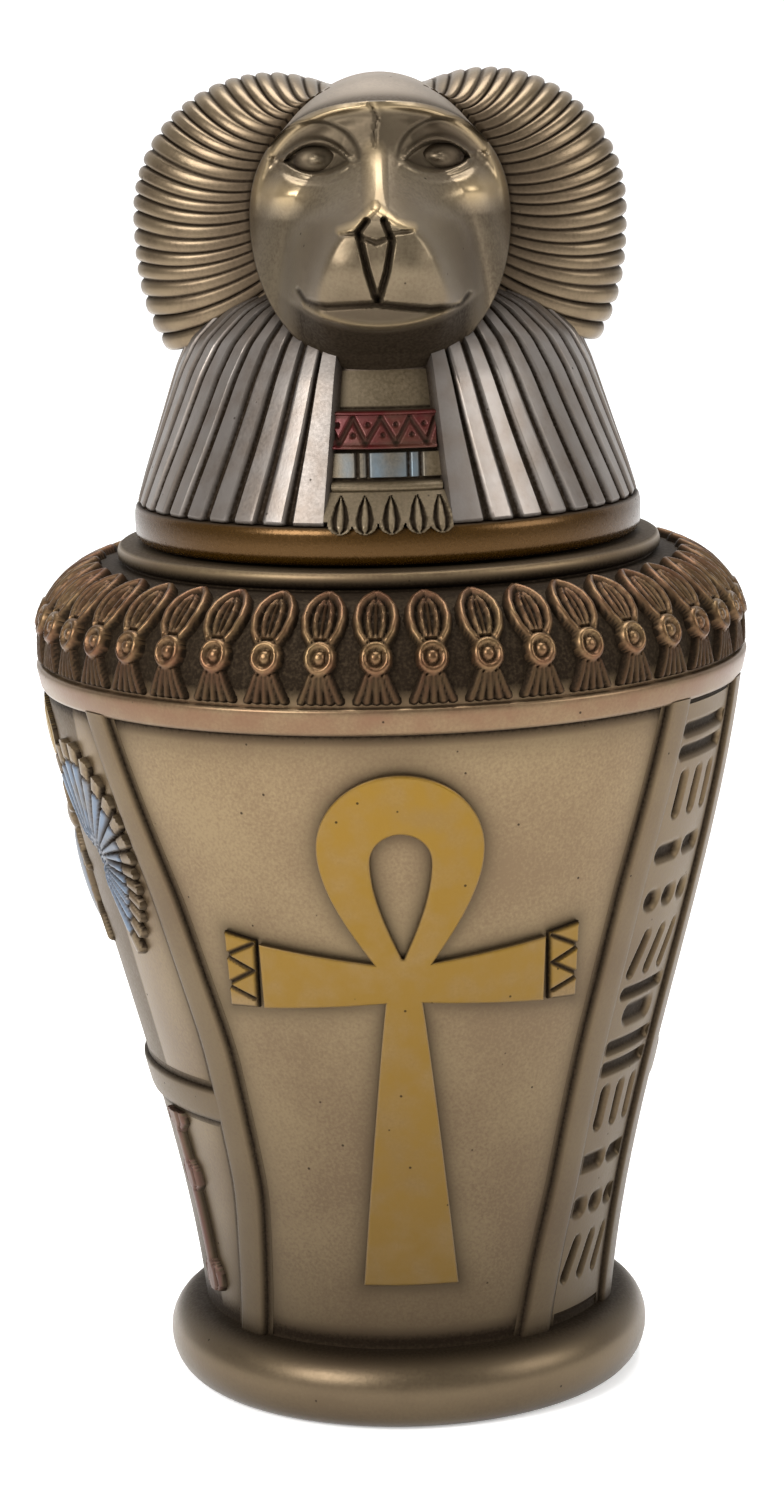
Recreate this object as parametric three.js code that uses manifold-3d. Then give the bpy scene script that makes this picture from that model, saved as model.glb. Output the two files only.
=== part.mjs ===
// Souvenir canopic jar: a hollow cold-cast bronze vessel and its baboon-headed lid.
// Millimetres, +Z up. The origin is the middle of the underside, and the front faces -Y.
// Azimuths are in degrees round the Z axis, from the front (-Y) towards the right (+X).
import * as THREE from 'three';
import { mergeVertices } from 'three/addons/utils/BufferGeometryUtils.js';
import Module from 'manifold-3d';

const wasm = await Module();
wasm.setup();

// ---- Driving dimensions of the vessel ----
const FOOT_RADIUS = 28.6;
const FOOT_CONTACT_RADIUS = 25.6;
const FOOT_BULGE_Z = 4.2;
const FOOT_TOP_Z = 9.0;
const BODY_BOTTOM_RADIUS = 24.25;
const BODY_TOP_RADIUS = 40.25;
const BODY_TOP_Z = 83.4;
const COPING_TOP_Z = 86.4;
const COPING_RADIUS = 41.4;
const SHOULDER_CENTRE_Z = 88.4;
const SHOULDER_CENTRE_RADIUS = 31.4;
const SHOULDER_ROUND = 9.05;
const FLANGE_RADIUS = 31.5;
const FLANGE_BOTTOM_Z = 97.7;
const FLANGE_TOP_Z = 99.7;
const MOUTH_RADIUS = 25.0;
const WALL = 4.8;
const FLOOR_THICKNESS = 6.0;
const INSIDE_FOOT_RADIUS = 19.0;

// ---- Relief on the vessel ----
const RELIEF_ROOT = 1.0;
const PENDANT_COUNT = 42;
const PENDANT_OFFSET = -2.4;
const STRIP_WIDTH = 4.0;
const STRIP_RAISE = 0.7;
const ANKH_RAISE = 0.9;
const ANKH_CENTRE_U = 0.4;
const ANKH_TOP_Z = 79.0;
const ANKH_ARM_Z = 53.0;
const ANKH_BOTTOM_Z = 17.0;
const ANKH_ARM_HALF = 20.2;
const CROSS_BAR_LOW_Z = 35.3;
const CROSS_BAR_HIGH_Z = 39.4;
const STROKE_DEPTH = 0.6;
const STROKE_WIDTH = 1.3;
const STROKE_ROWS = 11;
const STROKE_ROW_PITCH = 6.2;
const STROKE_TOP_ROW_Z = 78.5;

// ---- Driving dimensions of the lid ----
const LID_BOTTOM_Z = 100.0;
const BAND_RADIUS = 29.3;
const BAND_TOP_Z = 104.3;
const PLUG_RADIUS = 24.4;
const PLUG_BOTTOM_Z = 97.0;
const CLOTH_BOTTOM_RADIUS = 29.1;
const CLOTH_WAIST_RADIUS = 24.1;
const CLOTH_WAIST_Z = 119.8;
const CLOTH_CLOSING = [[3.7, 1.4], [7.0, 4.6], [9.2, 10.0]]; // [rise, step inwards] over the waist
const LAPPET_EDGE = 14.0;
const FIRST_PLEAT = 22.4;
const PLEATS_PER_SIDE = 21;
const STRIPE_DEPTH = 0.5;
const THROAT_RECESS = 1.9;
const FRONT_RECESS = 1.6;
const FRONT_RECESS_START_Z = 105.0;
const FRONT_RECESS_FULL_Z = 124.0;
const FACE_Z = 137.0;
const LOBE_X = 12.4;
const LOBE_Z = 136.9;
const LOBE_RADIUS = 16.0;
const LOBE_CORNER_STRETCH = 4.0;
const RIBS_PER_LOBE = 25;
const RIB_DEPTH = 0.6;
const RIM_Y = 2.0;
const MANE_FRONT_Y = -6.5;
const MANE_BACK_Y = 19.5;
const MANE_CROWN_Y = 11.5;
const PARTING_TOP_Z = 150.5;
const PARTING_BOTTOM_Z = 121.0;

const SIDES = PENDANT_COUNT;
const PENDANT_STEP = 360 / PENDANT_COUNT;

// ---- Small helpers ----

// A point at an azimuth, height and radius.
function polar(azimuth, z, radius) {
  const angle = THREE.MathUtils.degToRad(azimuth);
  return new THREE.Vector3(radius * Math.sin(angle), -radius * Math.cos(angle), z);
}

// A value read off a list of [position, value] stations, straight between them.
function along(stations, position) {
  const last = stations.length - 1;
  if (position <= stations[0][0]) return stations[0][1];
  if (position >= stations[last][0]) return stations[last][1];
  const next = stations.findIndex(([start]) => start > position);
  const [startPos, startValue] = stations[next - 1];
  const [endPos, endValue] = stations[next];
  return THREE.MathUtils.mapLinear(position, startPos, endPos, startValue, endValue);
}

// A manifold solid from a closed triangle mesh, turned so that its faces point out.
function toSolid(geometry) {
  const plain = new THREE.BufferGeometry();
  plain.setAttribute('position', geometry.getAttribute('position').clone());
  if (geometry.index) plain.setIndex(geometry.index.clone());
  const merged = mergeVertices(plain, 1e-4);
  const vertProperties = new Float32Array(merged.getAttribute('position').array);
  const corner = (index) => new THREE.Vector3().fromArray(vertProperties, 3 * index);
  const source = merged.index.array;
  const faces = [];
  let volume = 0;
  for (let i = 0; i < source.length; i += 3) {
    const [a, b, c] = [source[i], source[i + 1], source[i + 2]];
    if (a === b || b === c || c === a) continue;
    faces.push([a, b, c]);
    volume += corner(a).dot(corner(b).cross(corner(c)));
  }
  if (volume < 0) faces.forEach((face) => face.reverse());
  const triVerts = new Uint32Array(faces.flat());
  return new wasm.Manifold(new wasm.Mesh({ numProp: 3, vertProperties, triVerts }));
}

// A closed skin over a stack of rings, each { azimuths, points }. A ring of one point is a
// pole. Neighbouring rings may have different counts, and are zipped together by azimuth.
function skinned(rings) {
  const positions = rings.flatMap(({ points }) => points.flatMap((point) => point.toArray()));
  const triangles = [];
  let base = 0;
  for (let level = 0; level + 1 < rings.length; level++) {
    const [lower, upper] = [rings[level], rings[level + 1]];
    const [lowerCount, upperCount] = [lower.points.length, upper.points.length];
    const top = base + lowerCount;
    const turnOf = (ring, index) => (
      ring.points.length === 1 ? Infinity : ring.azimuths[index % ring.points.length]
        + 360 * Math.floor(index / ring.points.length)
    );
    const stepsOf = ({ points }) => (points.length === 1 ? 0 : points.length);
    const [lowerSteps, upperSteps] = [stepsOf(lower), stepsOf(upper)];
    let [i, j] = [0, 0];
    while (i < lowerSteps || j < upperSteps) {
      const lowerNext = i < lowerSteps && (j === upperSteps || turnOf(lower, i + 1) <= turnOf(upper, j + 1));
      const [a, b] = [base + (i % lowerCount), top + (j % upperCount)];
      if (lowerNext) {
        i += 1;
        triangles.push(a, base + (i % lowerCount), b);
      } else {
        j += 1;
        triangles.push(a, top + (j % upperCount), b);
      }
    }
    base = top;
  }
  const geometry = new THREE.BufferGeometry();
  geometry.setAttribute('position', new THREE.Float32BufferAttribute(positions, 3));
  geometry.setIndex(triangles);
  return toSolid(geometry);
}

// Rings of a turned form from [radius, z] points. A radius of 0 gives a pole.
function turnedRings(profile, startAzimuth, sides = SIDES) {
  const azimuths = Array.from({ length: sides }, (_, i) => startAzimuth + (360 * i) / sides);
  return profile.map(([radius, z]) => {
    if (radius === 0) return { azimuths: [0], points: [polar(0, z, 0)] };
    return { azimuths, points: azimuths.map((azimuth) => polar(azimuth, z, radius)) };
  });
}

// A closed plate between two grids of points, outer(column, row) and inner(column, row).
// With loop set, the last column joins the first.
function plate(columns, rows, outer, inner, loop = false) {
  const across = loop ? columns : columns + 1;
  const positions = [];
  const triangles = [];
  for (const surface of [outer, inner]) {
    for (let row = 0; row <= rows; row++) {
      for (let column = 0; column < across; column++) {
        positions.push(...surface(column, row).toArray());
      }
    }
  }
  const layer = across * (rows + 1);
  const id = (column, row, under) => under * layer + row * across + (column % across);
  const quad = (a, b, c, d) => triangles.push(a, b, c, a, c, d);
  for (let column = 0; column < columns; column++) {
    for (let row = 0; row < rows; row++) {
      quad(id(column, row, 0), id(column + 1, row, 0), id(column + 1, row + 1, 0), id(column, row + 1, 0));
      quad(id(column, row, 1), id(column, row + 1, 1), id(column + 1, row + 1, 1), id(column + 1, row, 1));
    }
    quad(id(column, 0, 1), id(column + 1, 0, 1), id(column + 1, 0, 0), id(column, 0, 0));
    quad(id(column, rows, 0), id(column + 1, rows, 0), id(column + 1, rows, 1), id(column, rows, 1));
  }
  for (let row = 0; row < rows && !loop; row++) {
    quad(id(0, row, 0), id(0, row + 1, 0), id(0, row + 1, 1), id(0, row, 1));
    quad(id(columns, row, 1), id(columns, row + 1, 1), id(columns, row + 1, 0), id(columns, row, 0));
  }
  const geometry = new THREE.BufferGeometry();
  geometry.setAttribute('position', new THREE.Float32BufferAttribute(positions, 3));
  geometry.setIndex(triangles);
  return toSolid(geometry);
}

function joined(solids) {
  return solids.reduce((whole, solid) => whole.add(solid));
}

function toMesh(name, solid, material) {
  const { vertProperties, triVerts } = solid.getMesh();
  const geometry = new THREE.BufferGeometry();
  geometry.setAttribute('position', new THREE.BufferAttribute(vertProperties, 3));
  geometry.setIndex(new THREE.BufferAttribute(triVerts, 1));
  const mesh = new THREE.Mesh(geometry, material);
  mesh.name = name;
  return mesh;
}

// ---- Vessel: the turned forms ----

// Radius of the panels' surface: slender above the foot, then swelling to the coping.
function panelRadius(z) {
  const rise = (z - FOOT_TOP_Z) / (BODY_TOP_Z - FOOT_TOP_Z);
  const swell = 0.46 * rise + 1.45 * rise ** 2 - 0.91 * rise ** 3;
  return BODY_BOTTOM_RADIUS + (BODY_TOP_RADIUS - BODY_BOTTOM_RADIUS) * swell;
}

// A point on the panels' surface, at u mm round from an azimuth, lifted clear of it.
function onPanel(azimuth, u, z, lift) {
  const radius = panelRadius(z);
  return polar(azimuth + THREE.MathUtils.radToDeg(u / radius), z, radius + lift);
}

// A point on the shoulder's ground, a distance up from the coping, lifted clear of it.
function onShoulder(azimuth, u, distance, lift) {
  const straight = SHOULDER_CENTRE_Z - COPING_TOP_Z;
  const turn = Math.max(0, (distance - straight) / SHOULDER_ROUND);
  const reach = SHOULDER_ROUND + lift;
  const radius = SHOULDER_CENTRE_RADIUS + reach * Math.cos(turn);
  const upright = COPING_TOP_Z + Math.min(distance, straight);
  const z = upright + reach * Math.sin(turn);
  return polar(azimuth + THREE.MathUtils.radToDeg(u / radius), z, radius);
}

// Quarter of an ellipse from [radius, z] to [radius, z], leaving the start along Z
// when upright is true and along the radius otherwise.
function quarter([r0, z0], [r1, z1], steps, upright) {
  return Array.from({ length: steps }, (_, i) => {
    const angle = ((i + 1) / steps) * (Math.PI / 2);
    const [slow, fast] = [1 - Math.cos(angle), Math.sin(angle)];
    const [r, z] = upright ? [slow, fast] : [fast, slow];
    return [r0 + (r1 - r0) * r, z0 + (z1 - z0) * z];
  });
}

// The row of pendants: tassel fan, roundel and pointed bud, one over each flat of the
// vessel. Each station is a distance up from the coping, half width and raise.
const PENDANT_STATIONS = [
  [0.2, 2.4, 1.0],
  [3.1, 1.1, 0.8],
  [5.0, 1.8, 1.3],
  [7.0, 1.0, 0.7],
  [10.4, 2.2, 1.1],
  [14.2, 0.3, 0.0],
];
const PENDANT_FLANK = 0.15;

function pendantRings() {
  return PENDANT_STATIONS.map(([distance, half, raise]) => {
    const corners = [[-half - PENDANT_FLANK, 0], [-half, raise], [half, raise], [half + PENDANT_FLANK, 0]];
    const ring = { azimuths: [], points: [] };
    for (let index = 0; index < PENDANT_COUNT; index++) {
      const azimuth = PENDANT_OFFSET + index * PENDANT_STEP;
      for (const [u, lift] of corners) {
        ring.azimuths.push(azimuth + u);
        ring.points.push(onShoulder(azimuth, u, distance, lift));
      }
    }
    return ring;
  });
}

// The whole vessel in one skin: underside, foot, panels, coping, pendants, flange, and
// back down the inside of the wall to the floor.
function vessel() {
  const foot = [
    [0, 0],
    [FOOT_CONTACT_RADIUS, 0],
    ...quarter([FOOT_CONTACT_RADIUS, 0], [FOOT_RADIUS, FOOT_BULGE_Z], 2, false),
    ...quarter([FOOT_RADIUS, FOOT_BULGE_Z], [BODY_BOTTOM_RADIUS, FOOT_TOP_Z], 3, true),
  ];
  const panels = [0.25, 0.5, 0.75, 1].map((part) => {
    const z = THREE.MathUtils.lerp(FOOT_TOP_Z, BODY_TOP_Z, part);
    return [panelRadius(z), z];
  });
  const coping = [
    [BODY_TOP_RADIUS + 0.7, BODY_TOP_Z],
    [COPING_RADIUS, COPING_TOP_Z],
    [SHOULDER_CENTRE_RADIUS + SHOULDER_ROUND, COPING_TOP_Z],
  ];
  const flange = [
    [FLANGE_RADIUS - 0.6, SHOULDER_CENTRE_Z + SHOULDER_ROUND],
    [FLANGE_RADIUS, FLANGE_BOTTOM_Z + 0.3],
    [FLANGE_RADIUS, FLANGE_TOP_Z],
  ];
  const innerWall = [84, 50, 14].map((z) => [panelRadius(z) - WALL, z]);
  const mouth = [
    [MOUTH_RADIUS, FLANGE_TOP_Z],
    [MOUTH_RADIUS, SHOULDER_CENTRE_Z + 5.2],
  ];
  const inside = [
    ...mouth,
    [SHOULDER_CENTRE_RADIUS + SHOULDER_ROUND - WALL, SHOULDER_CENTRE_Z],
    ...innerWall,
    [INSIDE_FOOT_RADIUS - 1.5, FLOOR_THICKNESS],
    [0, FLOOR_THICKNESS],
  ];
  const facing = PENDANT_OFFSET - PENDANT_STEP / 2;
  const below = turnedRings([...foot, ...panels, ...coping], facing);
  const above = turnedRings(flange, facing);
  const hollow = turnedRings(inside, facing, SIDES / 2);
  return skinned([...below, ...pendantRings(), ...above, ...hollow]);
}

// ---- Vessel: relief ----

// One flat raised strip, its middle following [z, azimuth] stations.
function strip(stations) {
  const rows = 4;
  const place = (column, row, lift) => {
    const z = THREE.MathUtils.lerp(FOOT_TOP_Z - 0.6, BODY_TOP_Z + 0.5, row / rows);
    return onPanel(along(stations, z), (column - 0.5) * STRIP_WIDTH, z, lift);
  };
  return plate(1, rows, (c, r) => place(c, r, STRIP_RAISE), (c, r) => place(c, r, -RELIEF_ROOT));
}

// The five strips that part the panels, from the left of the front panel round the back.
const STRIPS = {
  frontLeft: [[10, -47], [27, -41], [45, -41], [63, -45.5], [84, -54.5]],
  frontRight: [[10, 37], [27, 42], [45, 43.5], [63, 46], [84, 51.5]],
  sideRight: [[10, 72.5], [45, 73], [84, 76]],
  backRight: [[10, 128], [84, 128]],
  backLeft: [[10, -128], [84, -128]],
};

// A level bar between two strips.
function crossBar(left, right) {
  const columns = 6;
  const place = (column, row, lift) => {
    const z = row ? CROSS_BAR_HIGH_Z : CROSS_BAR_LOW_Z;
    const start = along(left, z);
    const azimuth = start + (along(right, z) - start) * (column / columns);
    return onPanel(azimuth, 0, z, lift);
  };
  const raise = STRIP_RAISE - 0.05;
  return plate(columns, 1, (c, r) => place(c, r, raise), (c, r) => place(c, r, -RELIEF_ROOT));
}

// A band between two outlines given as [u, z] points, laid on the panel.
function ribbon(azimuth, outerLine, innerLine, lift, loop = false) {
  const columns = loop ? outerLine.length : outerLine.length - 1;
  const place = (column, row, height) => {
    const [u, z] = (row ? innerLine : outerLine)[column];
    return onPanel(azimuth, u, z, height);
  };
  return plate(columns, 1, (c, r) => place(c, r, lift), (c, r) => place(c, r, -RELIEF_ROOT), loop);
}

// A closed drop-shaped outline, pointed at the bottom, as [u, z] points.
function dropOutline(halfWidth, wideZ, topZ, pointHalf, pointZ, steps) {
  const flank = new THREE.CubicBezierCurve(
    new THREE.Vector2(pointHalf, pointZ),
    new THREE.Vector2(pointHalf + 0.45 * (halfWidth - pointHalf), pointZ + 0.3 * (wideZ - pointZ)),
    new THREE.Vector2(halfWidth, wideZ - 0.35 * (wideZ - pointZ)),
    new THREE.Vector2(halfWidth, wideZ),
  ).getPoints(steps);
  const crown = quarter([halfWidth, wideZ], [0, topZ], steps, true);
  const half = [...flank.map(({ x, y }) => [x, y]), ...crown];
  const mirrored = half.slice(0, -1).reverse().map(([u, z]) => [-u, z]);
  return [...half, ...mirrored];
}

function ankh() {
  const centred = (outline) => outline.map(([u, z]) => [u + ANKH_CENTRE_U, z]);
  const loopOuter = dropOutline(9.1, ANKH_TOP_Z - 8.4, ANKH_TOP_Z, 3.2, 56.4, 4);
  const loopInner = dropOutline(3.3, ANKH_TOP_Z - 10.0, ANKH_TOP_Z - 6.8, 0.02, 57.4, 4);
  const armSteps = [-1, -0.75, -0.5, -0.25, 0, 0.25, 0.5, 0.75, 1];
  const armTop = armSteps.map((part) => [part * ANKH_ARM_HALF, ANKH_ARM_Z + 3.3 + 3.2 * Math.abs(part)]);
  const armBottom = armSteps.map((part) => [part * ANKH_ARM_HALF, ANKH_ARM_Z - 0.9 - 0.8 * Math.abs(part)]);
  const stemLength = ANKH_ARM_Z - ANKH_BOTTOM_Z;
  const stemSteps = [0, 0.2, 0.4, 0.7, 1].map((part) => ANKH_ARM_Z - stemLength * part);
  const stemHalf = (z) => 1.9 + 3.4 * ((ANKH_ARM_Z - z) / stemLength) ** 0.9;
  const stemLeft = stemSteps.map((z) => [-stemHalf(z), z]);
  const stemRight = stemSteps.map((z) => [stemHalf(z), z]);
  return joined([
    ribbon(0, centred(loopOuter), centred(loopInner), ANKH_RAISE, true),
    ribbon(0, centred(armTop), centred(armBottom), ANKH_RAISE + 0.03),
    ribbon(0, centred(stemLeft), centred(stemRight), ANKH_RAISE + 0.06),
  ]);
}

// A round boss on the panel: a flat rim and a domed middle.
function boss(azimuth, u, z, halfWidth, halfHeight, lift, dome, sides) {
  const rings = [[1, -RELIEF_ROOT], [1, lift], [0, lift + dome]];
  const place = (column, row) => {
    const angle = (2 * Math.PI * column) / sides;
    const [part, height] = rings[row];
    const aside = part * halfWidth * Math.cos(angle);
    const above = part * halfHeight * Math.sin(angle);
    return onPanel(azimuth, u + aside, z + above, height);
  };
  const under = () => onPanel(azimuth, u, z, -RELIEF_ROOT);
  return plate(sides, 2, place, under, true);
}

// One spread wing: feathers fan out from its root, each a raised ridge.
function wing(azimuth, side) {
  const feathers = 8;
  const root = [16.9, 65.8];
  const place = (column, row, lifts) => {
    const part = column / (2 * feathers);
    const angle = THREE.MathUtils.degToRad(THREE.MathUtils.lerp(112, -68, part));
    const reach = THREE.MathUtils.lerp(14.5, 9.0, Math.sin(Math.min(1, part * 1.6) * Math.PI / 2));
    const distance = 1 + (reach - 1) * row * (column % 2 ? 1 : 0.93);
    const u = side * (root[0] + distance * Math.cos(angle));
    return onPanel(azimuth, u, root[1] + distance * Math.sin(angle), lifts[column % 2]);
  };
  const columns = 2 * feathers;
  return plate(columns, 1, (c, r) => place(c, r, [0.35, 0.95]), (c, r) => place(c, r, [-1, -1]));
}

// The side picture: a winged scarab under the sun's disc, and two standards below the bar.
function sidePicture() {
  const middle = -90;
  const standard = (side) => {
    const heights = [34.4, 32.6, 28.5, 27.2, 25.5, 14.5, 12.5];
    const halves = [1.6, 0.9, 0.8, 1.7, 0.8, 0.8, 1.6];
    const lean = (z) => side * (12.8 + 0.07 * (z - 34));
    const left = heights.map((z, i) => [lean(z) - halves[i], z]);
    const right = heights.map((z, i) => [lean(z) + halves[i], z]);
    return ribbon(middle, left, right, 1.0);
  };
  return joined([
    boss(middle, 0, 78.4, 8.6, 4.3, 0.5, 0.45, 12),
    boss(middle, 0, 60.6, 4.3, 6.4, 0.6, 0.9, 8),
    boss(middle, 0, 67.6, 3.5, 1.9, 0.6, 0.6, 6),
    wing(middle, 1),
    wing(middle, -1),
    standard(1),
    standard(-1),
  ]);
}

// Shallow engraved strokes in rows down the narrow panel. They spell nothing.
function inscriptionStrokes() {
  // Each stroke is [u, rise, length, tilt] from the middle of its row.
  const rows = [
    [[0, 1.3, 9.6, 0], [0, -1.3, 9.6, 0]],
    [[-4.2, 0, 4.2, 90], [0, 0, 4.2, 90], [4.2, 0, 4.2, 90]],
    [[0, -0.6, 9.0, 0]],
    [[-3.8, 0.2, 1.8, 0], [0, 0.2, 1.8, 0], [3.8, 0.2, 1.8, 0]],
    [[-2.4, 0, 4.4, 68], [2.4, 0, 4.4, 68]],
    [[0, 1.6, 9.2, 0], [0, -1.2, 4.6, 0]],
  ];
  const cuts = [];
  for (let row = 0; row < STROKE_ROWS; row++) {
    const z = STROKE_TOP_ROW_Z - row * STROKE_ROW_PITCH;
    const middle = (along(STRIPS.frontRight, z) + along(STRIPS.sideRight, z)) / 2;
    for (const [u, up, length, tilt] of rows[row % rows.length]) {
      cuts.push(stroke(middle, u, z + up, length, tilt));
    }
  }
  return joined(cuts);
}

function stroke(azimuth, u, z, length, tilt) {
  const angle = THREE.MathUtils.degToRad(tilt);
  const place = (column, row, lift) => {
    const run = (column - 0.5) * length;
    const rise = (row - 0.5) * STROKE_WIDTH;
    const du = run * Math.cos(angle) - rise * Math.sin(angle);
    const dz = run * Math.sin(angle) + rise * Math.cos(angle);
    return onPanel(azimuth, u + du, z + dz, lift);
  };
  return plate(1, 1, (c, r) => place(c, r, 1), (c, r) => place(c, r, -STROKE_DEPTH));
}

function jarSolid() {
  const strips = Object.values(STRIPS).map(strip);
  const bars = [
    crossBar(STRIPS.backLeft, STRIPS.frontLeft),
    crossBar(STRIPS.sideRight, STRIPS.backRight),
  ];
  return joined([vessel(), ...strips, ...bars, ankh(), sidePicture()]).subtract(inscriptionStrokes());
}

// ---- Lid: base band, plug and headcloth ----

// Outer radius of the headcloth, closing over under the mane.
function clothRadius(z) {
  return along([
    [BAND_TOP_Z, CLOTH_BOTTOM_RADIUS],
    [CLOTH_WAIST_Z, CLOTH_WAIST_RADIUS],
    ...CLOTH_CLOSING.map(([rise, inwards]) => [CLOTH_WAIST_Z + rise, CLOTH_WAIST_RADIUS - inwards]),
  ], z);
}

// How far the cloth draws in under the jaw: most in front, and more the higher it goes.
function frontRecess(azimuth, z) {
  const climb = (z - FRONT_RECESS_START_Z) / (FRONT_RECESS_FULL_Z - FRONT_RECESS_START_Z);
  const facing = 1.6 * Math.cos(THREE.MathUtils.degToRad(azimuth)) - 0.3;
  return FRONT_RECESS * THREE.MathUtils.clamp(climb, 0, 1) * THREE.MathUtils.clamp(facing, 0, 1);
}

// Plug, gilt band and headcloth in one skin. The cloth's stripes are shallow pleats.
function lidBase() {
  const pitch = (180 - FIRST_PLEAT) / PLEATS_PER_SIDE;
  const half = [[LAPPET_EDGE - 1.2, THROAT_RECESS], [LAPPET_EDGE, 0]];
  half.push([(LAPPET_EDGE + FIRST_PLEAT) / 2, 0], [FIRST_PLEAT, STRIPE_DEPTH]);
  for (let pleat = 0; pleat < PLEATS_PER_SIDE; pleat++) {
    half.push([FIRST_PLEAT + (pleat + 0.5) * pitch, 0]);
    half.push([FIRST_PLEAT + (pleat + 1) * pitch, STRIPE_DEPTH]);
  }
  const mirrored = half.slice(0, -1).reverse().map(([azimuth, depth]) => [360 - azimuth, depth]);
  const columns = [[0, THROAT_RECESS], ...half, ...mirrored];
  const azimuths = columns.map(([azimuth]) => azimuth);
  const heights = [BAND_TOP_Z, CLOTH_WAIST_Z, ...CLOTH_CLOSING.map(([rise]) => CLOTH_WAIST_Z + rise)];
  const cloth = heights.map((z) => {
    const reach = (azimuth, depth) => clothRadius(z) - depth - frontRecess(azimuth, z);
    return { azimuths, points: columns.map(([azimuth, depth]) => polar(azimuth, z, reach(azimuth, depth))) };
  });
  const plugAndBand = turnedRings([
    [0, PLUG_BOTTOM_Z],
    [PLUG_RADIUS, PLUG_BOTTOM_Z],
    [PLUG_RADIUS, LID_BOTTOM_Z],
    [BAND_RADIUS - 0.7, LID_BOTTOM_Z],
    [BAND_RADIUS, LID_BOTTOM_Z + 1.2],
    [BAND_RADIUS, BAND_TOP_Z],
  ], 0);
  return skinned([...plugAndBand, ...cloth, ...turnedRings([[0, heights[heights.length - 1]]], 0)]);
}

// A raised piece on the throat between the lappets, u mm to each side.
function collarPiece(u, halfWidths, heights, raise, columns = 1) {
  const place = (column, row, lift) => {
    const recess = THROAT_RECESS + frontRecess(0, heights[row]);
    const radius = clothRadius(Math.max(heights[row], BAND_TOP_Z)) - recess;
    const across = u + halfWidths[row] * ((2 * column) / columns - 1);
    return polar(THREE.MathUtils.radToDeg(across / radius), heights[row], radius + lift);
  };
  const rows = heights.length - 1;
  return plate(columns, rows, (c, r) => place(c, r, raise), (c, r) => place(c, r, -RELIEF_ROOT));
}

function collar() {
  const width = 6.1;
  const drops = [-2, -1, 0, 1, 2].map((i) => (
    collarPiece(0.3 + i * 2.75, [0.9, 1.2, 0.9, 0.2], [103.6, 104.8, 106.1, 107.6], 2.2)
  ));
  return joined([
    collarPiece(0, [width, width], [112.4, 116.4], 1.2, 4),
    collarPiece(0, [width, width], [109.0, 112.0], 0.6, 4),
    collarPiece(0, [width, width], [108.0, 108.9], 1.2, 4),
    ...drops,
  ]);
}

// ---- Lid: mane ----

// The mane in one body: ribs that rise at the face's edge, round over the rim of a lobe
// and run back to the parting behind the head, where the other lobe's ribs meet them.
const RIB_TURNS = [0, 40, 90, 135, 180];

function ribPoint(part, turnDegrees, side, sunk) {
  const turn = THREE.MathUtils.degToRad(turnDegrees);
  const start = THREE.MathUtils.degToRad(THREE.MathUtils.lerp(70, -35, part));
  const end = THREE.MathUtils.degToRad(THREE.MathUtils.lerp(118, -52, part));
  const rim = LOBE_RADIUS + LOBE_CORNER_STRETCH * Math.max(0, -Math.sin(end) / 0.79) ** 2;
  const tip = [LOBE_X + rim * Math.cos(end), LOBE_Z + rim * Math.sin(end)];
  const faceEdge = [14.6 * Math.cos(start), FACE_Z + 15.2 * Math.sin(start)];
  const parting = [0, THREE.MathUtils.lerp(PARTING_TOP_Z, PARTING_BOTTOM_Z, part)];
  const backY = MANE_BACK_Y - (MANE_BACK_Y - MANE_CROWN_Y) * (1 - part) ** 3;
  const front = turnDegrees < 90;
  const root = front ? faceEdge : parting;
  const out = Math.sin(turn);
  const groove = sunk ? (RIB_DEPTH * (0.25 + 0.75 * out)) / LOBE_RADIUS : 0;
  const middle = new THREE.Vector3(LOBE_X / 2, RIM_Y, LOBE_Z);
  const point = new THREE.Vector3(
    root[0] + (tip[0] - root[0]) * out,
    RIM_Y + ((front ? MANE_FRONT_Y : backY) - RIM_Y) * Math.abs(Math.cos(turn)),
    root[1] + (tip[1] - root[1]) * out,
  ).lerp(middle, turnDegrees === 180 ? 0 : groove);
  return new THREE.Vector3(side * point.x, point.y, point.z);
}

function mane() {
  const columns = 2 * RIBS_PER_LOBE;
  const last = RIB_TURNS.length - 1;
  const core = new THREE.Vector3(0, 5, 128);
  const surface = (column, row) => {
    const side = row <= last ? 1 : -1;
    const turn = RIB_TURNS[row <= last ? row : 2 * last - row];
    return ribPoint(column / columns, turn, side, column % 2 === 0);
  };
  return plate(columns, 2 * last, surface, () => core);
}

// ---- Lid: head ----

// The face is a relief in front of the plane y = 0, read by x and z.

// Distance of the face's outline from its middle, at an angle up from the right.
function faceOutline(angle) {
  const up = Math.sin(angle);
  return up > 0 ? 14.7 - 1.9 * up ** 4 : 14.7 + 2.3 * up ** 2;
}

// How far forward the outline lies: a brow crest above, cheeks set back, jaw forward.
function edgeDepth(angle) {
  const up = Math.sin(angle);
  return up > 0 ? 8 + 8.5 * up ** 2 : 8 + 12 * Math.abs(up) ** 1.1;
}

// The muzzle by height: its ridge line, and where its front ends and its sides meet the cheeks.
const MUZZLE_RIDGE = [
  [118, 18.6], [119.5, 19.6], [122, 22.4], [124.6, 25.6], [125.8, 27.3], [127.4, 28.0], [129.4, 28.9],
  [133, 29.7], [136, 29.7], [138.2, 27.8], [141, 22.6], [144.5, 17.9], [148, 17.4],
];
const MUZZLE_FRONT_HALF = [
  [118, 2.5], [120, 3.6], [122.5, 4.8], [124.5, 5.6], [126, 6.2], [128.3, 6.6], [130, 6.4], [132, 5.8],
  [134, 4.9], [136, 3.4], [137.4, 1.6], [138.4, 0.6], [141, 0.3], [144.6, 0.2],
];
const MUZZLE_BASE_HALF = [
  [118, 9.0], [121, 10.6], [124, 11.8], [128, 12.0], [132, 11.4], [136, 10.6], [140, 9.2], [143, 6.0],
  [145, 3.6],
];
const MUZZLE_FRONT_CURVE = 0.035;
const MASK_MIDDLE_DEPTH = 17.2;
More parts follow.
